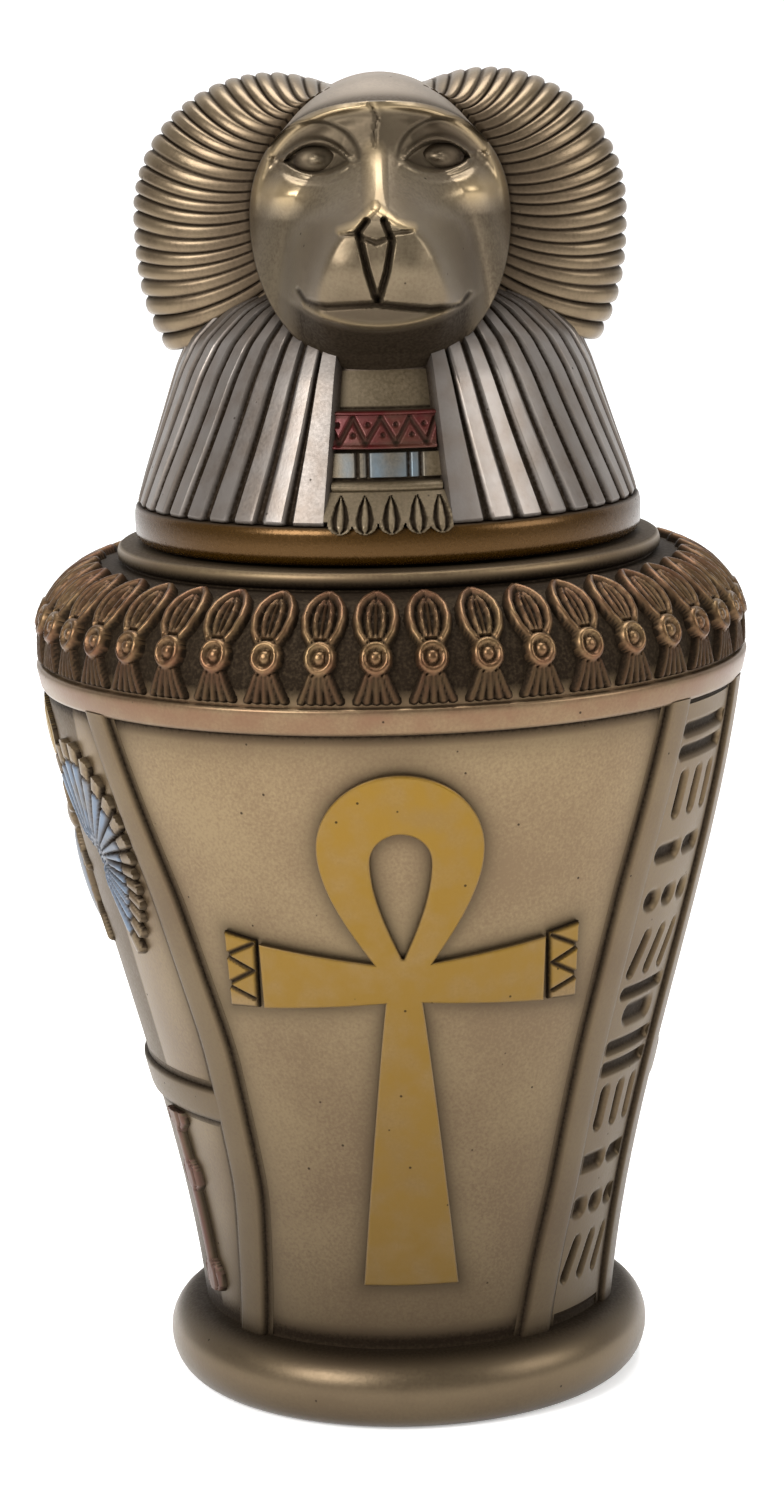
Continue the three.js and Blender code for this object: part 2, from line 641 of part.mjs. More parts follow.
const SOCKET_DEPTH = 1.15;
const EYE_X = 6.7;
const EYE_Z = 143.4;
const EYE_DEPTH = 13.8;
const SOCKET = { x: 7.2, z: 143.6, half: 5.2, rise: 4.1, fall: 2.9 };

function faceDepth(x, z) {
  const aside = Math.abs(x);
  const angle = Math.atan2(z - FACE_Z, x);
  const reach = Math.min(1, Math.hypot(x, z - FACE_Z) / faceOutline(angle));
  const edge = edgeDepth(angle);
  const mask = edge + (MASK_MIDDLE_DEPTH - edge) * (1 - reach ** 4);
  const socketHeight = z > SOCKET.z ? SOCKET.rise : SOCKET.fall;
  const eyeGap = Math.hypot((aside - SOCKET.x) / SOCKET.half, (z - SOCKET.z) / socketHeight);
  const plain = mask - SOCKET_DEPTH * THREE.MathUtils.clamp((1.05 - eyeGap) / 0.3, 0, 1);
  const half = along(MUZZLE_FRONT_HALF, z);
  const base = along(MUZZLE_BASE_HALF, z);
  const across = THREE.MathUtils.clamp((aside - half) / (base - half), 0, 1);
  const rounded = 0.5 * (1 + Math.cos(Math.PI * across));
  const roof = 0.8 * THREE.MathUtils.clamp((z - 136.5) / 3, 0, 1);
  const fall = rounded + (1 - across - rounded) * roof;
  const front = along(MUZZLE_RIDGE, z) - MUZZLE_FRONT_CURVE * aside ** 2;
  return plain + Math.max(0, front - plain) * fall;
}

function skull() {
  const sectors = 30;
  const azimuths = Array.from({ length: sectors }, (_, i) => (360 * i) / sectors);
  const angles = azimuths.map((azimuth) => THREE.MathUtils.degToRad(azimuth));
  const face = [0.16, 0.32, 0.48, 0.64, 0.8, 1].map((part) => angles.map((angle) => {
    const x = part * faceOutline(angle) * Math.cos(angle);
    const z = FACE_Z + part * faceOutline(angle) * Math.sin(angle);
    return new THREE.Vector3(x, -faceDepth(x, z), z);
  }));
  // Behind the face, each ring's y and its reach up, aside and down.
  const behind = [
    [-8, 15.3, 13.6, 13.0],
    [0, 15.8, 13.0, 12.0],
    [9, 15.2, 12.0, 11.0],
    [16, 12.4, 9.0, 9.0],
  ].map(([y, up, aside, down]) => angles.map((angle) => {
    const height = Math.sin(angle) > 0 ? up : down;
    return new THREE.Vector3(aside * Math.cos(angle), y, FACE_Z + height * Math.sin(angle));
  }));
  const pole = (y) => ({ azimuths: [0], points: [new THREE.Vector3(0, y, FACE_Z)] });
  const rings = [...face, ...behind].map((points) => ({ azimuths, points }));
  return skinned([pole(-faceDepth(0, FACE_Z)), ...rings, pole(17.5)]);
}

function eye(side) {
  const ball = new THREE.SphereGeometry(1, 8, 6);
  ball.scale(2.2, 1.8, 1.8);
  ball.translate(side * EYE_X, -EYE_DEPTH, EYE_Z);
  return toSolid(ball);
}

function lidSolid() {
  const parts = [lidBase(), collar(), mane(), skull(), eye(1), eye(-1)];
  return joined(parts);
}

// ---- The two castings ----

const bronze = new THREE.MeshStandardMaterial({ color: 0x9b8768, roughness: 0.45, metalness: 0.7 });
const headBronze = new THREE.MeshStandardMaterial({ color: 0x8e8270, roughness: 0.4, metalness: 0.7 });

const canopicJar = new THREE.Group();
canopicJar.add(toMesh('jar', jarSolid(), bronze));
canopicJar.add(toMesh('lid', lidSolid(), headBronze));

export default canopicJar;
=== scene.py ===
import math

import bpy
import numpy as np
from mathutils import Matrix, Vector


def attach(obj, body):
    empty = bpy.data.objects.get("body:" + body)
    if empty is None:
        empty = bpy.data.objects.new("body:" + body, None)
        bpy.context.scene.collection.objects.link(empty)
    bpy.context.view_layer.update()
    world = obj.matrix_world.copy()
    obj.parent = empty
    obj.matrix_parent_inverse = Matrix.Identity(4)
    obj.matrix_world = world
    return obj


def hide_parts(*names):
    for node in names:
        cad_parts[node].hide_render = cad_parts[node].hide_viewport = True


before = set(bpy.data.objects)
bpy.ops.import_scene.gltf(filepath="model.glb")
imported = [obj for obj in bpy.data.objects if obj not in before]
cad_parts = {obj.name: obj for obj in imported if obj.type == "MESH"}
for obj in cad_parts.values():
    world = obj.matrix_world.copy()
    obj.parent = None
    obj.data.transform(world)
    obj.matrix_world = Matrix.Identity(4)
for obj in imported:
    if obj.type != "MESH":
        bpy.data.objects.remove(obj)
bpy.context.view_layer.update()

# ---- The hollow vessel ----
# One casting of bronze powder in resin: foot, swelling wall, coping, sloping shoulder
# and the flange that carries the lid. Poured in a rubber mould, then rubbed bright over
# a dark brown wash that stays in every hollow.

MM = 0.001
BUILT_IN_JAR = "jar"
BUILT_IN_LID = "lid"
FOOT_TOP_Z = 9.0
COPING_Z = 83.4
WAIST_RADIUS = 24.25
SWELL = 16.0
WALL = 4.8
FLOOR = 6.0


def panel_radius(z):
    """The wall's radius, which swells from the waist above the foot to the coping."""
    rise = (z - FOOT_TOP_Z) / (COPING_Z - FOOT_TOP_Z)
    return WAIST_RADIUS + SWELL * (0.46 * rise + 1.45 * rise**2 - 0.91 * rise**3)


def on_wall(azimuth, u, z, lift):
    """Points on the vessel's wall, u mm round from an azimuth and lifted clear of it."""
    angle = np.radians(azimuth) + u / panel_radius(z)
    radius = panel_radius(z) + lift
    return np.stack([radius * np.sin(angle), -radius * np.cos(angle), z + 0 * angle], axis=-1)


def points_of(piece):
    """A piece's corners in millimetres."""
    flat = np.empty(3 * len(piece.data.vertices))
    piece.data.vertices.foreach_get("co", flat)
    return flat.reshape(-1, 3) / MM


def move_points(piece, points):
    piece.data.vertices.foreach_set("co", (np.asarray(points) * MM).ravel())
    piece.data.update()


def paint_on(piece, name, values):
    """Stores how much of one finish each corner has, from 0 to 1."""
    layer = piece.data.attributes.get(name) or piece.data.attributes.new(name, "FLOAT", "POINT")
    layer.data.foreach_set("value", np.clip(values, 0, 1).astype(np.float32))


def select_only(piece):
    bpy.ops.object.select_all(action="DESELECT")
    piece.select_set(True)
    bpy.context.view_layer.objects.active = piece


def finish_piece(piece, crease=40):
    """Faces turned outwards and smooth, with creases kept past an angle in degrees."""
    select_only(piece)
    bpy.ops.object.mode_set(mode="EDIT")
    bpy.ops.mesh.select_all(action="SELECT")
    bpy.ops.mesh.normals_make_consistent(inside=False)
    bpy.ops.object.mode_set(mode="OBJECT")
    bpy.ops.object.shade_smooth_by_angle(angle=math.radians(crease))


def fit(piece, node):
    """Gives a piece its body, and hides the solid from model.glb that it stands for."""
    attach(piece, "root")
    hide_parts(node)


def turned(name, profile, steps):
    """A closed form spun round Z from [radius, height] points that start and end on Z."""
    bpy.ops.object.select_all(action="DESELECT")
    bpy.ops.mesh.primitive_plane_add(size=MM)
    piece = bpy.context.object
    piece.name = piece.data.name = name
    bpy.ops.object.mode_set(mode="EDIT")
    bpy.ops.mesh.select_mode(type="VERT")
    bpy.ops.mesh.select_all(action="SELECT")
    bpy.ops.mesh.merge(type="CENTER")
    bpy.ops.transform.translate(value=(0, -profile[0][0] * MM, profile[0][1] * MM))
    for (r0, z0), (r1, z1) in zip(profile, profile[1:]):
        step = (0, (r0 - r1) * MM, (z1 - z0) * MM)
        bpy.ops.mesh.extrude_region_move(TRANSFORM_OT_translate={"value": step})
    bpy.ops.mesh.select_all(action="SELECT")
    bpy.ops.mesh.spin(steps=steps, angle=2 * math.pi, center=(0, 0, 0), axis=(0, 0, 1))
    bpy.ops.mesh.select_all(action="SELECT")
    bpy.ops.mesh.remove_doubles(threshold=0.002 * MM)
    bpy.ops.object.mode_set(mode="OBJECT")
    return piece


def quarter_turn(start, end, steps, upright):
    """Points of a quarter ellipse after its start, leaving along Z when upright."""
    angle = np.linspace(0, math.pi / 2, steps + 1)[1:]
    slow, fast = 1 - np.cos(angle), np.sin(angle)
    r, z = (slow, fast) if upright else (fast, slow)
    return [
        (start[0] + (end[0] - start[0]) * a, start[1] + (end[1] - start[1]) * b) for a, b in zip(r, z)
    ]


foot = [(0, 0), (14, 0), (25.4, 0), *quarter_turn((25.4, 0), (28.6, 4.4), 8, False)]
foot += quarter_turn((28.6, 4.4), (24.6, 8.7), 8, True)
foot += [(24.2, 8.8), (24.1, 9.3)]
panels = [(panel_radius(z), z) for z in np.linspace(9.8, 82.9, 80)]
coping = [
    (40.15, 83.3), (40.75, 83.5), (40.98, 83.9), (41.3, 85.4), (41.4, 86.0), (41.3, 86.3), (40.9, 86.45),
    (40.45, 86.45),
]
SHOULDER_CENTRE_RADIUS = 31.4
SHOULDER_CENTRE_Z = 88.4
SHOULDER_ROUND = 9.05
shoulder = [(40.45, SHOULDER_CENTRE_Z)]
for a in np.linspace(0.12, math.pi / 2 - 0.04, 15):
    outward, upward = SHOULDER_ROUND * math.cos(a), SHOULDER_ROUND * math.sin(a)
    shoulder.append((SHOULDER_CENTRE_RADIUS + outward, SHOULDER_CENTRE_Z + upward))
flange = [
    (30.75, 97.5), (30.7, 97.7), (31.1, 97.9), (31.45, 98.2), (31.5, 98.9), (31.35, 99.4), (31.0, 99.66),
    (30.4, 99.7), (27.6, 99.68), (25.3, 99.68), (25.0, 99.4), (25.0, 93.6), (27.4, 91.8), (33.8, 89.0),
    (35.6, 87.4),
]
inner_wall = [(panel_radius(z) - WALL, z) for z in np.linspace(84, 13, 26)]
inside = [*inner_wall, (17.5, 6.6), (16.6, 6.1), (15.5, FLOOR), (7, FLOOR), (0, FLOOR)]
vessel = turned("vessel", foot + panels + coping + shoulder + flange + inside, 420)

STRIPS = {
    "left": [(8, -48), (10, -47), (27, -41), (45, -41), (63, -45.5), (84, -54.5)],
    "right": [(8, 36.4), (10, 37), (27, 42), (45, 43.5), (63, 46), (84, 51.5)],
    "side_right": [(8, 72.5), (10, 72.5), (45, 73), (84, 76)],
    "back_right": [(8, 128), (84, 128)],
    "back_left": [(8, -128), (84, -128)],
}
STRIP_HALF = 2.0


def eased(stations, position):
    """A value read off [position, value] stations, with the corners rounded off."""
    at, value = np.array(stations, float).T
    fine = np.linspace(at[0], at[-1], 241)
    curve = np.interp(fine, at, value)
    for _ in range(60):
        curve[1:-1] = (curve[:-2] + 2 * curve[1:-1] + curve[2:]) / 4
    return np.interp(position, fine, curve)


def gap_to_line(x, y, line):
    """Shortest distance from points to a line through the given corners."""
    best = np.full(np.shape(x), 1e9)
    for (x0, y0), (x1, y1) in zip(line, line[1:]):
        dx, dy = x1 - x0, y1 - y0
        share = np.clip(((x - x0) * dx + (y - y0) * dy) / max(dx * dx + dy * dy, 1e-9), 0, 1)
        best = np.minimum(best, np.hypot(x - x0 - share * dx, y - y0 - share * dy))
    return best


def drop_outline(half, wide_z, top_z, point_half, point_z, steps):
    """A loop pointed at the bottom, as (u, z) corners from its point up the right side."""
    share = np.linspace(0, 1, steps)
    k = 1 - share
    flank_u = (
        point_half * k**3 + 3 * (point_half + 0.45 * (half - point_half)) * k * k * share
        + 3 * half * k * share**2 + half * share**3
    )
    flank_z = (
        point_z * k**3 + 3 * (point_z + 0.3 * (wide_z - point_z)) * k * k * share
        + 3 * (wide_z - 0.35 * (wide_z - point_z)) * k * share**2 + wide_z * share**3
    )
    flank = list(zip(flank_u, flank_z))
    crown = quarter_turn((half, wide_z), (0, top_z), steps, True)
    right = flank + crown
    return right + [(-u, z) for u, z in right[-2::-1]]


ANKH_CENTRE = 0.4
loop_line = drop_outline(9.1, 70.6, 79.0, 3.2, 57.0, 22)
ankh_arm_right = [(15.8, 51.1), (16.1, 58.9)]


def stem_half(z):
    return 1.9 + 3.4 * max((53 - z) / 36, 0) ** 0.9


stem_right = [(stem_half(z), z) for z in np.linspace(17, 52.2, 16)]
half_ankh = stem_right + ankh_arm_right + loop_line[: len(loop_line) // 2 + 1]
ankh_line = half_ankh + [(-u, z) for u, z in half_ankh[-2::-1]]
ankh_hole = drop_outline(3.3, 69.0, 72.2, 0.12, 57.6, 18)
cap_line = [(16.5, 51.1), (20.0, 50.9), (20.2, 55.0), (20.6, 60.1), (18.4, 59.7), (16.7, 59.2)]

# The dark wash lies in the crease above the foot, along the strips, round the ankh and on the shoulder's
# ground, and the side panels are darkened.
# Painted shade lies under the overhanging coping, softly beside the strips and round the ankh, on the flange
# under the lid, and deepens towards the foot.
co = points_of(vessel)
azimuth = np.degrees(np.arctan2(co[:, 0], -co[:, 1]))
radius = np.hypot(co[:, 0], co[:, 1])
height = co[:, 2]
on_panel = (height > 9.2) & (height < 83.35) & (radius > panel_radius(height) - 1)
under_coping = COPING_Z - height
wash_and_painted_shade = 0.95 * np.exp(-(((height - 9.2) / 1.5) ** 2)) * (radius > 22)
# A dark line of wash and painted shade in the crease under the coping, then a broader painted shadow under
# its overhang.
wash_and_painted_shade += 0.85 * np.exp(-((under_coping / 0.55) ** 2)) * on_panel
wash_and_painted_shade += 0.35 * np.exp(-((under_coping / 2.4) ** 2)) * on_panel
# Painted shade, with some wash, darkening the panels towards the foot.
wash_and_painted_shade += 0.25 * np.clip((22 - height) / 14, 0, 1) * on_panel
# Wash in the crease along each strip, fading into a soft painted shade on the panel beside it.
for stations in STRIPS.values():
    gap = np.abs(np.radians(azimuth - eased(stations, height))) * panel_radius(height) - STRIP_HALF
    wash_and_painted_shade += 0.55 * np.exp(-((np.clip(gap, 0, None) / 1.5) ** 1.4)) * on_panel * (gap > -0.5)
wash_and_painted_shade += 0.42 * on_panel * (np.abs(azimuth + 6) > 58)
near_front = on_panel & (np.abs(azimuth) < 45)
u = np.radians(azimuth) * panel_radius(height) - ANKH_CENTRE
edge_gap = np.minimum.reduce([
    gap_to_line(u, height, ankh_line + ankh_line[:1]),
    gap_to_line(u, height, ankh_hole + ankh_hole[:1]),
    gap_to_line(u, height, cap_line + cap_line[:1]),
    gap_to_line(-u, height, cap_line + cap_line[:1]),
])
# Wash at the ankh's edge, fading into a soft painted shade round it.
wash_and_painted_shade += 0.5 * np.exp(-((edge_gap / 1.3) ** 1.3)) * near_front
on_ground = (height > 86.5) & (height < 97.6) & (radius > 30.6)
wash_and_painted_shade = np.where(on_ground, np.interp(height, [86.5, 89, 95, 97.6], [1.0, 0.97, 0.97, 0.85]), wash_and_painted_shade)
# Painted shade on the flange's top under the lid's band and in the groove under its lip; the lip itself is
# darkened too.
wash_and_painted_shade = np.where((height > 99.5) & (radius > 24) & (radius < 31.2), 0.8, wash_and_painted_shade)
wash_and_painted_shade = np.where((height > 97.0) & (height < 98.35) & (radius > 29), 1.0, wash_and_painted_shade)
wash_and_painted_shade = np.where((height > 98.35) & (height < 99.3) & (radius > 30.5), 0.5, wash_and_painted_shade)
wash_and_painted_shade = np.where((radius < panel_radius(height) - 3) & (height < 93), 0.55, wash_and_painted_shade)
# The wall is cut back under the engraved column, whose fine sheet fills the place.
column_left = eased(STRIPS["right"], height)
column_right = eased(STRIPS["side_right"], height)
in_column = on_panel & (azimuth > column_left) & (azimuth < column_right)
out = np.where(in_column & (height > 10.5) & (height < 82.6), -1.0, 0.0)
co[:, :2] *= (1 + out / np.maximum(radius, 1))[:, None]
move_points(vessel, co)
paint_on(vessel, "wash_and_painted_shade", wash_and_painted_shade)
# Wear rubbed bright round the foot, with a painted highlight there as well.
paint_on(vessel, "rub_and_highlight", 0.5 * np.exp(-(((height - 4.6) / 3.2) ** 2)) * (radius > 25.6))
paint_on(vessel, "copper", 0.8 * np.exp(-(((height - 85) / 1.6) ** 2)) * (radius > 39))
finish_piece(vessel, 55)


def srgb(colour):
    """A colour written as sRGB hex, in the linear values that Blender mixes."""
    parts = [int(colour[i : i + 2], 16) / 255 for i in (1, 3, 5)]
    return [p / 12.92 if p <= 0.04045 else ((p + 0.055) / 1.055) ** 2.4 for p in parts] + [1.0]


def add_node(tree, kind, settings, sockets):
    """One node with its settings, and its sockets given a value or a link."""
    made = tree.nodes.new(kind)
    for key, value in settings.items():
        setattr(made, key, value)
    for key, value in sockets.items():
        if isinstance(value, bpy.types.NodeSocket):
            tree.links.new(value, made.inputs[key])
        else:
            made.inputs[key].default_value = value
    return made


def cast_bronze(name, light, dark, dark_wash_and_shade="#22180c", metal=0.82, gloss=0.37, paints=(), low=1.0):
    """Cold-cast bronze: resin full of metal powder, rubbed bright over a dark wash that also carries painted
    shade.

    The colour falls to the share `low` at the foot, partly as more wash left low down by the brush and partly
    as painted shade where the light falls off towards the foot.
    """
    made = bpy.data.materials.new(name)
    made.use_nodes = True
    tree = made.node_tree
    shader = tree.nodes["Principled BSDF"]
    place = add_node(tree, "ShaderNodeTexCoord", {}, {}).outputs["Object"]
    # Broad clouds as wide as a fingertip's rub, and the grain of the powder. The powder is
    # finer than a tenth of a millimetre, and is drawn 0.35 mm coarse so that it shows.
    cloud = add_node(tree, "ShaderNodeTexNoise", {}, {"Vector": place, "Scale": 1 / (14 * MM), "Detail": 4.0})
    grain = add_node(
        tree, "ShaderNodeTexNoise", {}, {"Vector": place, "Scale": 1 / (0.35 * MM), "Detail": 2.0}
    )
    mottle = add_node(
        tree, "ShaderNodeMath", {"operation": "ADD"}, {0: cloud.outputs["Fac"], 1: grain.outputs["Fac"]}
    )
    tone = add_node(
        tree, "ShaderNodeMapRange", {}, {"Value": mottle.outputs[0], "From Min": 0.78, "From Max": 1.22}
    )
    body = add_node(
        tree, "ShaderNodeMix", {"data_type": "RGBA"}, {0: tone.outputs[0], 6: srgb(dark), 7: srgb(light)}
    ).outputs[2]
    # Small air pits and dark specks of wash, each a fraction of a millimetre.
    pits = add_node(
        tree, "ShaderNodeTexVoronoi", {}, {"Vector": place, "Scale": 1 / (3.2 * MM), "Randomness": 1.0}
    )
    speck = add_node(
        tree, "ShaderNodeMapRange", {},
        {"Value": pits.outputs["Distance"], "From Min": 0.06, "From Max": 0.035, "To Max": 0.8},
    )
    # Each paint covers the share that its attribute gives, worn through in patches of a few
    # millimetres.
    for attribute, colour, worn in paints:
        cover = add_node(tree, "ShaderNodeAttribute", {"attribute_name": attribute}, {})
        wear = add_node(
            tree, "ShaderNodeTexNoise", {}, {"Vector": place, "Scale": 1 / (3.2 * MM), "Detail": 6.0}
        )
        thin = add_node(
            tree, "ShaderNodeMapRange", {},
            {"Value": wear.outputs["Fac"], "From Min": 0.33, "From Max": 0.60, "To Min": 1 - worn},
        )
        share = add_node(
            tree, "ShaderNodeMath", {"operation": "MULTIPLY"},
            {0: cover.outputs["Fac"], 1: thin.outputs[0]},
        )
        body = add_node(
            tree, "ShaderNodeMix", {"data_type": "RGBA"}, {0: share.outputs[0], 6: body, 7: srgb(colour)}
        ).outputs[2]
    # Painted shade and a heavier wash darken the colour towards the foot.
    height = add_node(tree, "ShaderNodeSeparateXYZ", {}, {"Vector": place}).outputs["Z"]
    low_wash_and_shade = add_node(
        tree, "ShaderNodeMapRange", {}, {"Value": height, "From Max": 76 * MM, "To Min": low, "To Max": 1.0}
    )
    body = add_node(
        tree, "ShaderNodeMix", {"data_type": "RGBA", "blend_type": "MULTIPLY"},
        {0: 1.0, 6: body, 7: low_wash_and_shade.outputs[0]},
    ).outputs[2]
    # The dark wash and the painted shade cover the share that their attribute gives.
    wash_and_shade_part = add_node(tree, "ShaderNodeAttribute", {"attribute_name": "wash_and_painted_shade"}, {})
    uneven = add_node(
        tree, "ShaderNodeMapRange", {},
        {"Value": grain.outputs["Fac"], "From Min": 0.3, "From Max": 0.7, "To Min": 0.9, "To Max": 1.1},
    )
    washed_and_shaded = add_node(
        tree, "ShaderNodeMath", {"operation": "MULTIPLY", "use_clamp": True},
        {0: wash_and_shade_part.outputs["Fac"], 1: uneven.outputs[0]},
    )
    dirt_and_shade = add_node(
        tree, "ShaderNodeMath", {"operation": "MAXIMUM"}, {0: washed_and_shaded.outputs[0], 1: speck.outputs[0]}
    )
    body = add_node(
        tree, "ShaderNodeMix", {"data_type": "RGBA"}, {0: dirt_and_shade.outputs[0], 6: body, 7: srgb(dark_wash_and_shade)}
    ).outputs[2]
    tree.links.new(body, shader.inputs["Base Color"])
    metallic = add_node(
        tree, "ShaderNodeMapRange", {}, {"Value": dirt_and_shade.outputs[0], "To Min": metal, "To Max": 0.85}
    )
    tree.links.new(metallic.outputs[0], shader.inputs["Metallic"])
    dull = add_node(
        tree, "ShaderNodeMapRange", {},
        {"Value": dirt_and_shade.outputs[0], "To Min": gloss, "To Max": gloss + 0.4},
    )
    sheen = add_node(
        tree, "ShaderNodeMath", {"operation": "MULTIPLY_ADD"}, {0: grain.outputs["Fac"], 1: 0.16, 2: -0.08}
    )
    rough = add_node(
        tree, "ShaderNodeMath", {"operation": "ADD", "use_clamp": True},
        {0: dull.outputs[0], 1: sheen.outputs[0]},
    )
    tree.links.new(rough.outputs[0], shader.inputs["Roughness"])
    relief = add_node(
        tree, "ShaderNodeMath", {"operation": "SUBTRACT"}, {0: grain.outputs["Fac"], 1: speck.outputs[0]}
    )
    bump = add_node(
        tree, "ShaderNodeBump", {},
        {"Height": relief.outputs[0], "Strength": 0.25, "Distance": 0.05 * MM},
    )
    tree.links.new(bump.outputs[0], shader.inputs["Normal"])
    return made


# Brown bronze rubbed bright round the foot with a painted highlight there too, with a coppery coping, and
# darker towards the foot, partly wash and partly painted shade.
wall_bronze = cast_bronze(
    "cold_cast_bronze_rubbed", "#76654B", "#67553F", low=0.4,
    paints=[("copper", "#644735", 0.6), ("rub_and_highlight", "#A48E70", 0.1)],
)
vessel.data.materials.append(wall_bronze)
fit(vessel, BUILT_IN_JAR)

# ---- Strips and bars between the panels ----
# Flat ribs cast with the wall. Their tops are rubbed bright, and the wash lies in a thin
# dark line along both sides.


def prism(name, outline, levels):
    """A closed prism on a flat outline in x and y, extruded through levels in z."""
    bpy.ops.object.select_all(action="DESELECT")
    bpy.ops.mesh.primitive_circle_add(vertices=len(outline), radius=MM, fill_type="NGON")
    piece = bpy.context.object
    piece.name = piece.data.name = name
    flat = np.zeros((len(outline), 3))
    flat[:, :2] = outline
    flat[:, 2] = levels[0]
    move_points(piece, flat)
    bpy.ops.object.mode_set(mode="EDIT")
    bpy.ops.mesh.select_all(action="SELECT")
    for low, high in zip(levels, levels[1:]):
        bpy.ops.mesh.extrude_region_move(TRANSFORM_OT_translate={"value": (0, 0, (high - low) * MM)})
    bpy.ops.object.mode_set(mode="OBJECT")
    return piece


STRIP_SECTION = [
    (-2.95, -0.8), (-2.9, 0.03), (-2.12, 0.06), (-1.98, 0.42), (-1.8, 0.62), (-1.45, 0.7), (-0.7, 0.72),
    (0.0, 0.73), (0.7, 0.72), (1.45, 0.7), (1.8, 0.62), (1.98, 0.42), (2.12, 0.06), (2.9, 0.03), (2.95, -0.8),
]


def side_wash(across):
    """The dark line along both sides of a rib, read across from its middle."""
    return np.interp(np.abs(across), [1.5, 1.9, 2.1, 2.3, 2.9], [0.28, 0.6, 1.0, 0.95, 0.5])


strip_levels = list(np.linspace(8.6, 83.7, 52))
for side, stations in STRIPS.items():
    strip = prism(f"strip_{side}", STRIP_SECTION, strip_levels)
    co = points_of(strip)
    across, lift, height = co.T
    move_points(strip, on_wall(eased(stations, height), across, height, lift))
    foot_wash = 0.9 * np.exp(-(((height - FOOT_TOP_Z) / 1.3) ** 2))
    paint_on(strip, "wash_and_painted_shade", np.maximum(side_wash(across), foot_wash))
    finish_piece(strip, 50)
    strip.data.materials.append(wall_bronze)
    fit(strip, BUILT_IN_JAR)

BAR_Z = 35.3 + 2.05
BAR_SECTION = [(BAR_Z + z, lift) for z, lift in STRIP_SECTION]
for side, left, right in (("left", "back_left", "left"), ("right", "side_right", "back_right")):
    bar = prism(f"bar_{side}", BAR_SECTION, list(np.linspace(0, 1, 40)))
    co = points_of(bar)
    height, lift, share = co.T
    start, end = eased(STRIPS[left], height), eased(STRIPS[right], height)
    move_points(bar, on_wall(start + (end - start) * share, 0, height, lift * 0.94))
    paint_on(bar, "wash_and_painted_shade", side_wash(height - BAR_Z))
    finish_piece(bar, 50)
    bar.data.materials.append(wall_bronze)
    fit(bar, BUILT_IN_JAR)

# ---- The ankh on the front panel ----
# The sign of life in one raised plate with rounded edges, brushed over by hand with
# ochre paint. The arms end in flared caps with incised zigzags.


def cut_columns(piece, axis, stops):
    """Cuts a flat plate into narrow columns, so that it can follow the round wall."""
    bpy.ops.object.mode_set(mode="EDIT")
    normal = (1, 0, 0) if axis == 0 else (0, 1, 0)
    for stop in stops:
        bpy.ops.mesh.select_all(action="SELECT")
        at = (stop * MM, 0, 0) if axis == 0 else (0, stop * MM, 0)
        bpy.ops.mesh.bisect(plane_co=at, plane_no=normal)
    bpy.ops.object.mode_set(mode="OBJECT")


def round_edges(piece, above, edge):
    """Rounds a plate's top edge with three insets that climb as they narrow."""
    select_only(piece)
    bpy.ops.object.mode_set(mode="EDIT")
    bpy.ops.mesh.select_mode(type="FACE")
    bpy.ops.mesh.select_all(action="DESELECT")
    bpy.ops.object.mode_set(mode="OBJECT")
    for face in piece.data.polygons:
        face.select = face.normal.z > 0.9 and face.center.z > above * MM
    bpy.ops.object.mode_set(mode="EDIT")
    for inward, upward in ((0.13, 0.5), (0.37, 0.37), (0.5, 0.13)):
        bpy.ops.mesh.inset(thickness=inward * edge * MM, depth=upward * edge * MM, use_even_offset=True)
    bpy.ops.object.mode_set(mode="OBJECT")


ankh = prism("ankh", ankh_line, [-0.7, 0.55])
hole = prism("ankh_hole", ankh_hole, [-1.5, 2.0])
for made in (ankh, hole):
    finish_piece(made)
cutter = ankh.modifiers.new("open the loop", "BOOLEAN")
cutter.operation = "DIFFERENCE"
cutter.solver = "EXACT"
cutter.object = hole
select_only(ankh)
bpy.ops.object.modifier_apply(modifier=cutter.name)
bpy.data.objects.remove(hole)
round_edges(ankh, 0.5, 0.35)
cut_columns(ankh, 0, np.arange(-15.5, 16, 1.0))
cut_columns(ankh, 1, np.arange(18.5, 79, 1.8))
co = points_of(ankh)
paint_on(ankh, "wash_and_painted_shade", np.interp(co[:, 2], [-0.7, 0.2, 0.56, 0.66], [1, 1, 0.5, 0]))
paint_on(ankh, "ochre", np.interp(co[:, 2], [0.66, 0.86], [0, 1]))
move_points(ankh, on_wall(0, co[:, 0] + ANKH_CENTRE, co[:, 1], co[:, 2]))
finish_piece(ankh, 40)

# Ochre artists' paint over the bronze, thin and streaky, worn through on the edges, and darker towards the
# foot, partly as painted shade.
ochre_paint = cast_bronze(
    "ochre_paint_on_cast_bronze", "#79613C", "#68512D", metal=0.5, gloss=0.42,
    paints=[("ochre", "#725400", 0.45)], low=0.4,
)
ankh.data.materials.append(ochre_paint)
fit(ankh, BUILT_IN_JAR)


def carved_sheet(name, across, along):
    """A fine grid from 0 to 1 both ways, ready to be pushed into relief."""
    bpy.ops.object.select_all(action="DESELECT")
    bpy.ops.mesh.primitive_grid_add(x_subdivisions=across, y_subdivisions=along, size=2 * MM)
    piece = bpy.context.object
    piece.name = piece.data.name = name
    co = points_of(piece)
    return piece, (co[:, 0] + 1) / 2, (co[:, 1] + 1) / 2


def close_under(piece, depth):
    """Gives a relief sheet side walls and a floor, so that it is a closed solid."""
    select_only(piece)
    bpy.ops.object.mode_set(mode="EDIT")
    bpy.ops.mesh.select_mode(type="EDGE")
    bpy.ops.mesh.select_all(action="DESELECT")
    bpy.ops.mesh.select_non_manifold(
        extend=False, use_wire=False, use_boundary=True, use_multi_face=False,
        use_non_contiguous=False, use_verts=False,
    )
    bpy.ops.mesh.extrude_region_move(TRANSFORM_OT_translate={"value": (0, 0, -depth * MM)})
    bpy.ops.mesh.edge_face_add()
    bpy.ops.object.mode_set(mode="OBJECT")


